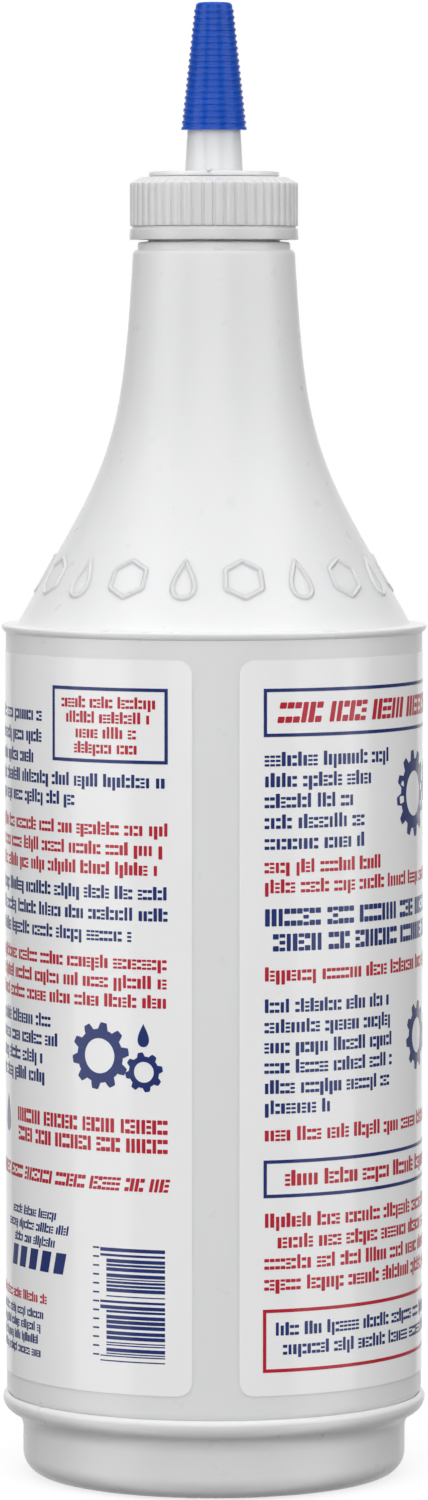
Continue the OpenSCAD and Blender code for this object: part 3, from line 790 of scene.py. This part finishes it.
def bar(s0, s1, z0, z1, slant=0.0):
    """A long bar of ink, cut into short lengths so that it follows the label's curve."""
    n = max(2, int(abs(s1 - s0) / (1.2 * MM)) + 1)
    across = np.linspace(s0, s1, n)
    label = bpy.context.scene.label_sizes
    s = np.stack([across, across + slant * (z1 - z0)])
    z = np.stack([np.full(n, z0), np.full(n, z1)])
    under = label.outer_r + PRINT_LIFT
    return wrapped_shell(s, z, under + PRINT_THICKNESS, under)


def printed_frame(s0, s1, z0, z1, line):
    """The four bars of a printed frame."""
    return [
        bar(s0, s1, z1 - line, z1),
        bar(s0, s1, z0, z0 + line),
        bar(s0, s0 + line, z0 + line, z1 - line),
        bar(s1 - line, s1, z0 + line, z1 - line),
    ]


def draw(seed, index):
    """A repeatable number from 0 to 1 for each index: the fraction of a large sine."""
    wave = np.sin(np.asarray(index, float) * 12.9898 + seed * 78.233) * 43758.5453
    return wave - np.floor(wave)


def greeked_line(z, s0, s1, height, seed, capitals=False, slant=0.0):
    """A line of print as a row of upright strokes and stacks of dashes, grouped as words. They have a
    steady pitch, and repeatable draws say how wide each is and whether it is plain, tall, hanging
    or a stack of two or three dashes. With capitals all are as high as the line."""
    pitch = 0.39 * height
    count = max(1, int((s1 - s0) / pitch))
    i = np.arange(count)
    word_end = np.cumsum(5 + np.floor(draw(seed, i) * 7)).astype(int)
    inked = ~np.isin(i, word_end)
    inked[[0, -1]] = True
    kind = draw(seed + 3, i)
    middle_s = s0 + (s1 - s0) * (i + 0.5) / count
    foot = z - height / 2
    body = height if capitals else 0.76 * height
    tall = (kind > 0.80) & (not capitals)
    hanging = (kind > 0.73) & (kind <= 0.80) & (not capitals)
    drop = np.where(hanging, 0.24 * height, 0)
    stroke_h = np.where(tall, height, body + drop)
    stroke_w = pitch * (0.60 + 0.18 * draw(seed + 1, i))
    sets = [(inked & (kind >= 0.46), foot + stroke_h / 2 - drop, stroke_w, stroke_h)]
    for dashes, share, low, high in ((2, 0.31, 0, 0.30), (3, 0.22, 0.30, 0.46)):
        thick = share * body
        for k in range(dashes):
            level = foot + thick / 2 + k * (body - thick) / (dashes - 1)
            sets.append((inked & (kind >= low) & (kind < high), level, 0.9 * pitch, thick))
    places = np.concatenate([
        np.stack(np.broadcast_arrays(middle_s, level, width, high))[:, chosen]
        for chosen, level, width, high in sets
    ], axis=1)
    return blocks(*places, 0.035 * height, slant, foot)


def paragraph(top, leading, spans, height, seed, **style):
    """Lines of print under each other. Each span is the left and right end of a line, in millimetres."""
    return [
        greeked_line((top - k * leading) * MM, s0 * MM, s1 * MM, height * MM, seed + 7 * k, **style)
        for k, (s0, s1) in enumerate(spans)
    ]


def cog_motif(s, z, r, teeth=10):
    """A toothed ring: r = R (1 + a square-ish wave of the angle), with a round hole, as a ring of
    four-sided plates."""
    steps_per_tooth, flat, depth, hole = 12, 0.7, 0.1, 0.52
    n = teeth * steps_per_tooth
    t = np.linspace(0, 2 * math.pi, n, endpoint=False)
    wave = np.clip(1.6 * np.sin(teeth * t), -flat, flat) / flat
    outer = r * (1 - depth + depth * wave)
    inner = np.full(n, hole * r)
    t1 = np.roll(t, -1)
    o1, i1 = np.roll(outer, -1), np.roll(inner, -1)
    ring_s = s + np.stack([outer * np.cos(t), o1 * np.cos(t1), i1 * np.cos(t1), inner * np.cos(t)], -1)
    ring_z = z + np.stack([outer * np.sin(t), o1 * np.sin(t1), i1 * np.sin(t1), inner * np.sin(t)], -1)
    return patches(ring_s, ring_z)


def drop_motif(s, z, size):
    """A drop of ink, the same outline as the raised one."""
    x, y = drop_outline(np.linspace(0, 2 * math.pi, 40, endpoint=False))
    return patches(s - size * x[None, :], z + size * y[None, :])


def stripe_code(s0, s1, z0, z1, guard):
    """Stripes stacked up the label, with widths drawn from one to three modules, and guard stripes
    at the ends and in the middle that run further out."""
    module = 0.24 * MM
    stripes = np.arange(60)
    wide = 1 + np.floor(draw(5, stripes) * 3)
    gap = 1 + np.floor(draw(9, stripes) * 2.4)
    bottom = z0 + np.concatenate([[0], np.cumsum((wide + gap) * module)])[:-1]
    keep = bottom + wide * module < z1
    bottom, wide = bottom[keep], wide[keep]
    long = np.zeros(len(bottom), bool)
    long[[0, 1, len(bottom) // 2, len(bottom) // 2 + 1, -2, -1]] = True
    return [
        bar(s0 - (guard if is_long else 0), s1, low, low + w * module)
        for low, w, is_long in zip(bottom.tolist(), wide.tolist(), long.tolist())
    ]


def left_print(label):
    """Print on the left label, right-aligned at its edge. Distances are in millimetres from the front."""
    edge, past = -9.0, -74.0
    line = label.frame_w
    blue = [
        *printed_frame(-35.8 * MM, edge * MM, 144.4 * MM, 159.1 * MM, line),
        *paragraph(153.2, 4.15, [(past, -39.3), (past + 2, -39.4), (past, -42.3)], 2.6, 11),
        *paragraph(141.0, 3.8, [(past, -9.5), (past + 1, -29.6)], 2.6, 23),
        *paragraph(119.3, 4.15, [(past, -9.1), (past + 2, edge), (past, -16.4)], 2.6, 31),
        *paragraph(93.2, 3.7, [(past, -36.5), (past + 3, -34.4), (past, -39.2), (past + 1, -38.5)], 2.6, 43),
        *paragraph(54.9, 2.75, [(-53, -35), (-56, -31.5), (-52, -35.4)], 1.9, 51, slant=0.2),
        *paragraph(34.8, 2.55, [(past, -39), (past, -40), (past, -41), (past, -40)], 1.8, 57),
        *stripe_code(-22.0 * MM, -9.6 * MM, 27.4 * MM, 50.9 * MM, 1.4 * MM),
        cog_motif(-23.6 * MM, 87.2 * MM, 6.6 * MM),
        cog_motif(-13.9 * MM, 84.4 * MM, 3.9 * MM, teeth=8),
        drop_motif(-14.0 * MM, 91.6 * MM, 4.6 * MM),
        drop_motif(-57.0 * MM, 73.2 * MM, 7.5 * MM),
        *[
            bar((-53.5 + 4.4 * k) * MM, (-50.6 + 4.4 * k) * MM, 43.4 * MM, 47.6 * MM, slant=0.25)
            for k in range(5)
        ],
        blocks(-24.4 * MM, np.linspace(28.6, 49.6, 13) * MM, 1.5 * MM, 0.34 * MM, 0.1 * MM),
    ]
    red = [
        *paragraph(156.2, 2.95, [(-33.2, -11.4), (-32, -12.6), (-29.5, -15.4), (-29.8, -15.2)], 2.3, 61),
        *paragraph(131.7, 3.85, [(past, -8.9), (past + 2, -10), (past + 1, -11)], 2.6, 67),
        *paragraph(105.7, 3.75, [(past, -9.2), (past + 1, -9.2), (past + 3, -9.2)], 2.6, 73),
        *paragraph(73.7, 3.75, [(-50.1, edge), (-49.6, edge)], 2.8, 79, capitals=True),
        *paragraph(62.3, 3.7, [(past, edge)], 2.6, 83, capitals=True, slant=0.2),
        *paragraph(38.0, 3, [(past, -37.9)], 2.0, 89),
    ]
    return blue, red


def right_print(label):
    """Print on the right label, left-aligned at its edge. Distances are in millimetres from the front."""
    edge, past = 9.8, 74.0
    line = label.frame_w
    blue = [
        *printed_frame(9.7 * MM, past * MM, 149.7 * MM, 159.1 * MM, line),
        *paragraph(145.4, 4.05, [(edge, end) for end in (40.3, 34.7, 29.7, 32.7, 32.7)], 2.8, 101),
        *paragraph(114.6, 4.9, [(edge, past), (11.5, past)], 3.4, 113, capitals=True),
        *paragraph(97.4, 3.95, [(edge, end) for end in (40.4, 41, 41.5, 41.5, 40.6, 24.1)], 2.7, 127),
        *printed_frame(9.7 * MM, past * MM, 59.9 * MM, 67.3 * MM, line),
        *paragraph(34.2, 3.8, [(12, past - 2), (13.6, past - 3)], 2.6, 131),
        cog_motif(52.0 * MM, 137.0 * MM, 8.6 * MM, teeth=12),
        drop_motif(63.5 * MM, 139.0 * MM, 8.5 * MM),
        cog_motif(54.6 * MM, 88.8 * MM, 6.8 * MM),
        drop_motif(64.0 * MM, 88.8 * MM, 7.0 * MM),
    ]
    red = [
        *paragraph(154.4, 4, [(12.3, past - 3)], 4.0, 137, capitals=True, slant=0.18),
        *paragraph(124.6, 3.9, [(edge, 37.6), (edge, past)], 2.7, 139),
        *paragraph(103.6, 4, [(edge, past)], 2.8, 149),
        *paragraph(72.4, 4, [(edge, past)], 2.8, 151),
        *paragraph(63.7, 4, [(14, past - 3)], 3.1, 157),
        *paragraph(55.5, 4.1, [(edge, past), (12.4, past - 2), (edge, past), (edge, past - 4)], 2.8, 163),
        *printed_frame(9.6 * MM, past * MM, 25.7 * MM, 38.1 * MM, line),
    ]
    return blue, red


# The closure


def band_profile(c):
    """Section of the tear-off band, from its hook round to its tear web and its inner wall."""
    out_r, in_r = c.collar_r, c.collar_r - c.band_t
    edge, fine = 0.14 * MM, 0.05 * MM
    return np.vstack(filleted([
        (c.hook_r + c.hook_h / 2, c.band_z, fine),
        (out_r + c.band_flare, c.band_z, edge),
        (out_r, c.band_top_z, edge),
        (in_r + c.tear_web_t, c.band_top_z, fine),
        (in_r + c.tear_web_t, c.tear_web_z, fine),
        (in_r, c.tear_web_z, fine),
        (in_r, c.band_z + c.hook_h, fine),
        (c.hook_r, c.band_z + c.hook_h, fine),
        (c.hook_r, c.band_z + c.hook_h / 2, fine),
    ]))


def ribbed_collar(c, steps_per_rib=22):
    """The collar's section turned round the axis with a radius that depends on the angle. Outside,
    it is the wall, softly capped by the bevel's cone, less the grooves, which run out over the bevel
    by a smooth step; inside it is plain."""
    steps = c.rib_count * steps_per_rib
    t = np.linspace(0, 2 * math.pi, steps, endpoint=False)
    pitch = 2 * math.pi / c.rib_count
    away = np.abs((t + pitch / 2) % pitch - pitch / 2) * c.collar_r
    ramp = np.clip((c.rib_mouth_w / 2 - away) / (c.rib_mouth_w / 2 - c.rib_floor_w / 2), 0, 1)
    half = pitch * c.collar_r / 2
    crown = c.rib_crown * np.clip((half - away) / (half - c.rib_mouth_w / 2), 0, 1) ** 2
    groove = crown + (c.rib_depth - c.rib_crown) * smooth(ramp)
    top_in_z = c.collar_top_z - c.collar_top_t
    edge, soft, rim, run_out = 0.15 * MM, 0.09 * MM, 0.25 * MM, 0.7 * MM
    z = np.concatenate([
        c.collar_z + edge * (1 - np.cos(np.linspace(0, math.pi / 2, 4))),
        np.linspace(c.collar_z + 0.6 * MM, c.collar_top_z - 2.4 * MM, 6),
        np.linspace(c.collar_top_z - 2.1 * MM, c.collar_top_z, 26),
    ])
    z[-1] = c.collar_top_z
    below = np.maximum(edge - (z - c.collar_z), 0)
    foot = edge - np.sqrt(np.maximum(edge ** 2 - below ** 2, 0))
    cone = c.collar_r - c.bevel_w + (c.collar_top_z - z) * c.bevel_w / c.bevel_h
    wall = c.collar_r - foot
    envelope = wall - soft * np.logaddexp(0, (wall - cone) / soft)
    fade = smooth(np.clip((c.collar_top_z - rim - z) / run_out, 0, 1))
    outer = envelope[:, None] - fade[:, None] * groove[None, :]
    inner = np.array([
        (c.hole_r + 0.1 * MM, c.collar_top_z),
        (c.hole_r, c.collar_top_z - 0.1 * MM),
        (c.hole_r, top_in_z + 0.05 * MM),
        (c.hole_r + 0.05 * MM, top_in_z),
        (c.collar_bore_r - 0.3 * MM, top_in_z),
        (c.collar_bore_r, top_in_z - 0.3 * MM),
        (c.collar_bore_r, c.collar_z + 0.3 * MM),
        (c.collar_bore_r + 0.3 * MM, c.collar_z),
    ])
    r = np.vstack([outer, np.repeat(inner[:, :1], steps, axis=1)])
    z = np.concatenate([z, inner[:, 1]])[:, None]
    faces = grid_faces(len(r), steps, wrap_rows=True, wrap_columns=True).tolist()
    return around_axis(r, t, z).reshape(-1, 3), faces


def cap_radius(c, z):
    """Radius of the tip cap's ridge crests at a height: it falls evenly from the lower edge up."""
    return c.tip_r - (c.tip_r - c.tip_top_r) * (z - c.tip_z) / (c.tip_top_z - c.tip_z)


def cap_bore_radius(c, z):
    """Radius of the tip cap's bore at a height."""
    return cap_radius(c, z) - c.ridge_depth - c.tip_wall


def spout_profile(c):
    """Section of the spout, from its bore over the plug skirt, hub and disc up to its open end."""
    tube = cap_bore_radius(c, c.tip_z) - c.tip_gap
    top = cap_bore_radius(c, c.spout_top_z) - c.tip_gap
    plug_t = c.plug_r - c.plug_in_r
    fine, edge = 0.06 * MM, 0.15 * MM
    return np.vstack(filleted([
        (tube - c.spout_wall, c.tip_z, 0),
        (c.spout_r - c.spout_wall, c.under_z, edge),
        (c.plug_in_r, c.under_z, edge),
        (c.plug_in_r, c.plug_z, fine),
        (c.plug_r - plug_t / 2, c.plug_z, fine),
        (c.plug_r, c.plug_z + plug_t / 2, fine),
        (c.plug_r, c.flange_z, fine),
        (c.flange_r - 0.4 * MM, c.flange_z, fine),
        (c.flange_r, c.flange_z + 0.4 * MM, fine),
        (c.flange_r, c.flange_top_z, fine),
        (c.hub_r, c.flange_top_z, fine),
        (c.hub_r, c.disc_z, fine),
        (c.disc_r, c.disc_z, 2 * edge),
        (c.disc_r, c.disc_top_z, 2 * edge),
        (c.spout_r, c.disc_top_z, c.spout_root_r),
        (tube, c.tip_z, 0),
        (top, c.spout_top_z, fine),
        (top - c.spout_wall, c.spout_top_z, fine),
    ]))


def tip_profile(c):
    """Section of the tip cap: bore, lower edge, ridges that are widest near their upper edge, and a
    rounded top that closes on the axis."""
    ridge_top = c.tip_top_z - c.tip_edge_r
    pitch = (ridge_top - c.tip_z) / c.ridge_count
    bore_top = c.tip_top_z - c.tip_end_t
    bore_r = 0.3 * MM
    z = c.tip_z + pitch * np.arange(c.ridge_count)[:, None]
    across = np.array([0, 0.03, 0.07, 0.10, 0.40, 0.43, 0.47, 0.50, 0.54, 0.60, 0.63, 0.88, 0.91, 0.95])
    height = np.array([0.5, 0.93, 1, 1, 1, 1, 0.93, 0.5, 0.07, 0, 0, 0, 0, 0.07])
    ridges = np.stack([
        cap_radius(c, z + pitch * across) - c.ridge_depth * (1 - height),
        z + pitch * across,
    ], -1).reshape(-1, 2)
    ridges[0, 0] = c.tip_r
    top_r = cap_radius(c, ridge_top) - c.ridge_depth
    return np.vstack([
        [[0, bore_top]],
        arc(cap_bore_radius(c, bore_top) - bore_r, bore_top - bore_r, bore_r, math.pi / 2, 0, 4),
        [[cap_bore_radius(c, c.tip_z), c.tip_z]],
        ridges,
        arc(top_r - c.tip_edge_r, ridge_top, c.tip_edge_r, 0, math.pi / 2, 10),
        [[0.5 * (top_r - c.tip_edge_r), c.tip_top_z], [0, c.tip_top_z]],
    ])


# Operators


class BOTTLE_OT_shell(bpy.types.Operator):
    """Build the blown bottle with its threaded finish and raised ornament"""

    bl_idname = "bottle.shell"
    bl_label = "Bottle"

    def execute(self, context):
        s, c = context.scene.bottle_sizes, context.scene.closure_sizes
        profile = np.vstack([shell_outside(s), shell_inside(s)])
        if np.any(profile[:, 0] < -1e-9):
            raise RuntimeError("The bottle's profile crosses its axis.")
        shell = turned(profile, start_on_axis=True, end_on_axis=True)
        thread = helix_ridge(
            s.finish_r, s.finish_r + c.thread_depth, c.thread_root_w, c.thread_crest_w,
            c.thread_pitch, THREAD_TURNS, c.thread_z,
        )
        step = 2 * math.pi / s.relief_count
        figures = [
            relief_figure(s, "drop" if k % 2 else "nut", step * (k + 0.5) - math.pi / 2)
            for k in range(s.relief_count)
        ]
        mesh = joined([shell, thread, *figures])
        material = material_for(blown_plastic)
        add_piece("blown_bottle", mesh, material, "bottle_body", ["bottle"])
        return {"FINISHED"}


class BOTTLE_OT_labels(bpy.types.Operator):
    """Wrap the two film labels round the panel"""

    bl_idname = "bottle.labels"
    bl_label = "Labels"

    def execute(self, context):
        sizes = context.scene.label_sizes
        for name, node, middle in (
            ("right_label_film", "front_label", sizes.turn + math.pi / 2),
            ("left_label_film", "back_label", sizes.turn - math.pi / 2),
        ):
            mesh = film(sizes, middle)
            add_piece(name, mesh, material_for(film_plastic), "bottle_body", [node])
        return {"FINISHED"}


class BOTTLE_OT_print(bpy.types.Operator):
    """Print the generic fields, lines of blocks and figures on the labels"""

    bl_idname = "bottle.print"
    bl_label = "Print"

    def execute(self, context):
        label = context.scene.label_sizes
        for side, layout in (("left", left_print), ("right", right_print)):
            for ink_name, maker, parts in zip(("blue", "red"), (blue_ink, red_ink), layout(label)):
                name = f"{side}_label_{ink_name}_print"
                add_piece(name, joined(parts), material_for(maker), "bottle_body")
        return {"FINISHED"}


class BOTTLE_OT_band(bpy.types.Operator):
    """Build the tear-off band with its hook and tear web"""

    bl_idname = "bottle.band"
    bl_label = "Tear-off Band"

    def execute(self, context):
        c = context.scene.closure_sizes
        mesh = turned(band_profile(c))
        material = material_for(closure_plastic)
        add_piece("tear_off_band", mesh, material, "bottle_body", ["tamper_band"])
        return {"FINISHED"}


class BOTTLE_OT_collar(bpy.types.Operator):
    """Build the ribbed screw collar with its inner thread"""

    bl_idname = "bottle.collar"
    bl_label = "Collar"

    def execute(self, context):
        c = context.scene.closure_sizes
        thread = helix_ridge(
            c.collar_bore_r, c.collar_bore_r - c.thread_depth, c.thread_root_w, c.thread_crest_w,
            c.thread_pitch, THREAD_TURNS, c.thread_z - c.thread_drop + 0.5 * c.thread_pitch, lead=0.5,
        )
        mesh = joined([ribbed_collar(c), thread])
        material = material_for(closure_plastic)
        add_piece("ribbed_collar", mesh, material, "collar_body", ["collar"])
        return {"FINISHED"}


class BOTTLE_OT_spout(bpy.types.Operator):
    """Build the pouring spout with its disc and index tick, and finish the sealing ring under it"""

    bl_idname = "bottle.spout"
    bl_label = "Spout"

    def execute(self, context):
        c = context.scene.closure_sizes
        sunk, bevel = 0.3 * MM, 0.12 * MM
        tick = rounded_block(
            (c.spout_r + c.spout_root_r, -c.tick_w / 2, c.disc_top_z - sunk),
            (c.disc_r, c.tick_w / 2, c.disc_top_z + c.tick_h),
            bevel,
        )
        mesh = joined([turned(spout_profile(c), SPOUT_STEPS), spun(tick, c.tick_turn)])
        material = material_for(spout_plastic)
        add_piece("pouring_spout", mesh, material, "spout_body", ["spout"])
        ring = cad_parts["gasket"]
        ring.data.materials.clear()
        ring.data.materials.append(material_for(foam_liner))
        return {"FINISHED"}


class BOTTLE_OT_tip_cap(bpy.types.Operator):
    """Build the ridged tip cap"""

    bl_idname = "bottle.tip_cap"
    bl_label = "Tip Cap"

    def execute(self, context):
        c = context.scene.closure_sizes
        mesh = turned(tip_profile(c), CAP_STEPS, start_on_axis=True, end_on_axis=True)
        material = material_for(cap_plastic)
        add_piece(
            "ridged_tip_cap", mesh, material, "tip_cap_body", ["tip_cap"],
            sharp=CAP_SHARP_ANGLE,
        )
        return {"FINISHED"}


def sum_of(tree, operation, a, b=0):
    """One sum on sockets or plain values."""
    return add_node(tree, "Math", {0: a, 1: b}, operation=operation).outputs[0]


def seen_directly(tree):
    """1 for camera, glossy and transmission rays, 0 for light that the surroundings throw on the object."""
    rays = add_node(tree, "LightPath").outputs
    seen = sum_of(tree, "MAXIMUM", rays["Is Camera Ray"], rays["Is Glossy Ray"])
    return sum_of(tree, "MAXIMUM", seen, rays["Is Transmission Ray"])


def add_area(name, place, aim, width, height, power):
    """A rectangular lamp that faces its aim."""
    lamp = bpy.data.lights.new(name, "AREA")
    lamp.shape = "RECTANGLE"
    lamp.size, lamp.size_y = width, height
    lamp.energy = power
    obj = bpy.data.objects.new(name, lamp)
    bpy.context.scene.collection.objects.link(obj)
    obj.location = place
    obj.rotation_euler = (Vector(aim) - Vector(place)).to_track_quat("-Z", "Y").to_euler()


# Place, width and height of each softbox, in metres
SOFTBOXES = {
    "overhead": ((0.0, -0.35, 2.2), 2.1, 1.8),
    "front": ((-0.24, -3.0, 1.1), 2.4, 2.4),
    "left": ((-1.05, -0.35, 0.22), 0.9, 0.42),
    "right": ((1.05, -0.12, 0.22), 0.32, 0.42),
}
LAMP_AIM = (0, 0, 0.15)
FLOOR_R = 6
FLOOR_Z = -0.2 * MM
FLOOR_STEPS = 128
FLOOR_LIT = 0.30
FLOOR_GLOW = 0.76
SHADOW_FROM, SHADOW_TO = 0.07, 0.30


class BOTTLE_OT_stage(bpy.types.Operator):
    """Set the floor, the white surroundings, the lamps and the camera"""

    bl_idname = "bottle.stage"
    bl_label = "Stage"

    def execute(self, context):
        settings = context.scene.stage_settings
        self.surroundings(context.scene, settings)
        self.floor(context.scene, settings)
        for side, (place, width, height) in SOFTBOXES.items():
            add_area(side + "_softbox", place, LAMP_AIM, width, height, getattr(settings, side))
        self.camera(context.scene, settings)
        return {"FINISHED"}

    def surroundings(self, scene, settings):
        """White to the eye and in reflections, plain grey as a light."""
        world = bpy.data.worlds.new("studio")
        scene.world = world
        world.use_nodes = True
        tree = world.node_tree
        back = tree.nodes["Background"]
        back.inputs["Strength"].default_value = 1
        light = (*[settings.sky] * 3, 1)
        mix = add_node(
            tree, "Mix", {"Factor": seen_directly(tree), "A": light, "B": (1, 1, 1, 1)}, data_type="RGBA"
        )
        tree.links.new(mix.outputs["Result"], back.inputs["Color"])
        tree.links.new(self.side_boxes(tree, settings), back.inputs["Strength"])

    def side_boxes(self, tree, settings):
        """Strength of the surroundings: 1, but for glossy rays more in the directions of two upright
        softboxes and less in those of two dark flags beyond them. The direction is the angle of
        (x, -y), which is 0 at the front."""
        place = add_node(tree, "TexCoord").outputs["Generated"]
        parts = add_node(tree, "SeparateXYZ", {0: place}).outputs
        turn = sum_of(tree, "ARCTAN2", parts["X"], sum_of(tree, "MULTIPLY", parts["Y"], -1))
        strength = 0
        for start, end, height in (
            (settings.left_box_from, settings.left_box_to, settings.box_glow),
            (settings.right_box_from, settings.right_box_to, settings.box_glow),
            (-settings.flag_to, -settings.flag_from, -settings.flag_shade),
            (settings.flag_from, settings.flag_to, -settings.flag_shade),
        ):
            away = sum_of(tree, "ABSOLUTE", sum_of(tree, "SUBTRACT", turn, (start + end) / 2))
            edge = add_node(tree, "MapRange", {
                "Value": away,
                "From Min": (end - start) / 2 + settings.box_edge / 2,
                "From Max": (end - start) / 2 - settings.box_edge / 2,
                "To Max": height,
            }, interpolation_type="SMOOTHSTEP")
            strength = sum_of(tree, "ADD", strength, edge.outputs["Result"])
        rays = add_node(tree, "LightPath").outputs
        return sum_of(tree, "ADD", sum_of(tree, "MULTIPLY", strength, rays["Is Glossy Ray"]), 1)

    def floor(self, scene, settings):
        """A pale floor that takes the bottle's shadow and goes over into plain white further out."""
        data = bpy.data.meshes.new("floor")
        t = np.linspace(0, 2 * math.pi, FLOOR_STEPS, endpoint=False)
        data.from_pydata(around_axis(FLOOR_R, t, FLOOR_Z).tolist(), [], [list(range(FLOOR_STEPS))])
        floor = bpy.data.objects.new("floor", data)
        scene.collection.objects.link(floor)
        material = bpy.data.materials.new("pale_floor")
        material.use_nodes = True
        tree = material.node_tree
        tree.nodes.clear()
        lit = add_node(tree, "BsdfDiffuse", {"Color": (*[FLOOR_LIT] * 3, 1)})
        glow = add_node(tree, "Emission", {"Color": (*[FLOOR_GLOW] * 3, 1)})
        near = add_node(tree, "AddShader", {0: lit.outputs[0], 1: glow.outputs[0]})
        white = add_node(tree, "Emission")
        place = add_node(tree, "TexCoord").outputs["Object"]
        away = add_node(tree, "VectorMath", {0: place}, operation="LENGTH").outputs["Value"]
        fade = add_node(
            tree, "MapRange", {"Value": away, "From Min": SHADOW_FROM, "From Max": SHADOW_TO},
            interpolation_type="SMOOTHSTEP",
        )
        seen = self.mixed(tree, fade.outputs["Result"], near, white)
        bounce = add_node(tree, "BsdfDiffuse", {"Color": (*[settings.floor_bounce] * 3, 1)})
        reflected = self.mixed(tree, seen_directly(tree), bounce, add_node(tree, "BsdfTransparent"))
        rays = add_node(tree, "LightPath").outputs
        pick = self.mixed(tree, rays["Is Camera Ray"], reflected, seen)
        add_node(tree, "OutputMaterial", {"Surface": pick.outputs[0]})
        data.materials.append(material)

    def mixed(self, tree, share, first, second):
        """The first shader where the share is 0, the second where it is 1."""
        return add_node(tree, "MixShader", {"Fac": share, 1: first.outputs[0], 2: second.outputs[0]})

    def camera(self, scene, settings):
        """The camera in front, a little over the shoulder, looking down at the photograph's angle."""
        data = bpy.data.cameras.new("camera")
        data.lens = settings.lens
        data.sensor_width = 36
        data.clip_end = 20
        camera = bpy.data.objects.new("camera", data)
        scene.collection.objects.link(camera)
        camera.location = (0, -settings.camera_distance, settings.camera_height)
        camera.rotation_euler = (math.pi / 2 - settings.camera_pitch, 0, 0)
        scene.camera = camera


class BOTTLE_PT_panel(bpy.types.Panel):
    """Lists the bottle's pieces and its stage"""

    bl_idname = "BOTTLE_PT_panel"
    bl_label = "Oil Additive Bottle"
    bl_space_type = "VIEW_3D"
    bl_region_type = "UI"
    bl_category = "Bottle"

    def draw(self, context):
        for operator in OPERATORS:
            self.layout.operator(operator.bl_idname)


GROUPS = {
    "bottle_sizes": BottleSizes,
    "label_sizes": LabelSizes,
    "closure_sizes": ClosureSizes,
    "finish_colours": FinishColours,
    "stage_settings": StageSettings,
}
OPERATORS = (
    BOTTLE_OT_shell,
    BOTTLE_OT_labels,
    BOTTLE_OT_print,
    BOTTLE_OT_band,
    BOTTLE_OT_collar,
    BOTTLE_OT_spout,
    BOTTLE_OT_tip_cap,
    BOTTLE_OT_stage,
)


def register():
    for cls in (*GROUPS.values(), *OPERATORS, BOTTLE_PT_panel):
        bpy.utils.register_class(cls)
    for name, group in GROUPS.items():
        setattr(bpy.types.Scene, name, bpy.props.PointerProperty(type=group))


def unregister():
    for name in GROUPS:
        delattr(bpy.types.Scene, name)
    for cls in reversed((*GROUPS.values(), *OPERATORS, BOTTLE_PT_panel)):
        bpy.utils.unregister_class(cls)


def main():
    register()
    scene = bpy.context.scene
    scene.view_settings.view_transform = "Standard"
    bpy.ops.bottle.shell()
    bpy.ops.bottle.labels()
    bpy.ops.bottle.print()
    bpy.ops.bottle.band()
    bpy.ops.bottle.collar()
    bpy.ops.bottle.spout()
    bpy.ops.bottle.tip_cap()
    bpy.ops.bottle.stage()


if __name__ == "__main__":
    main()
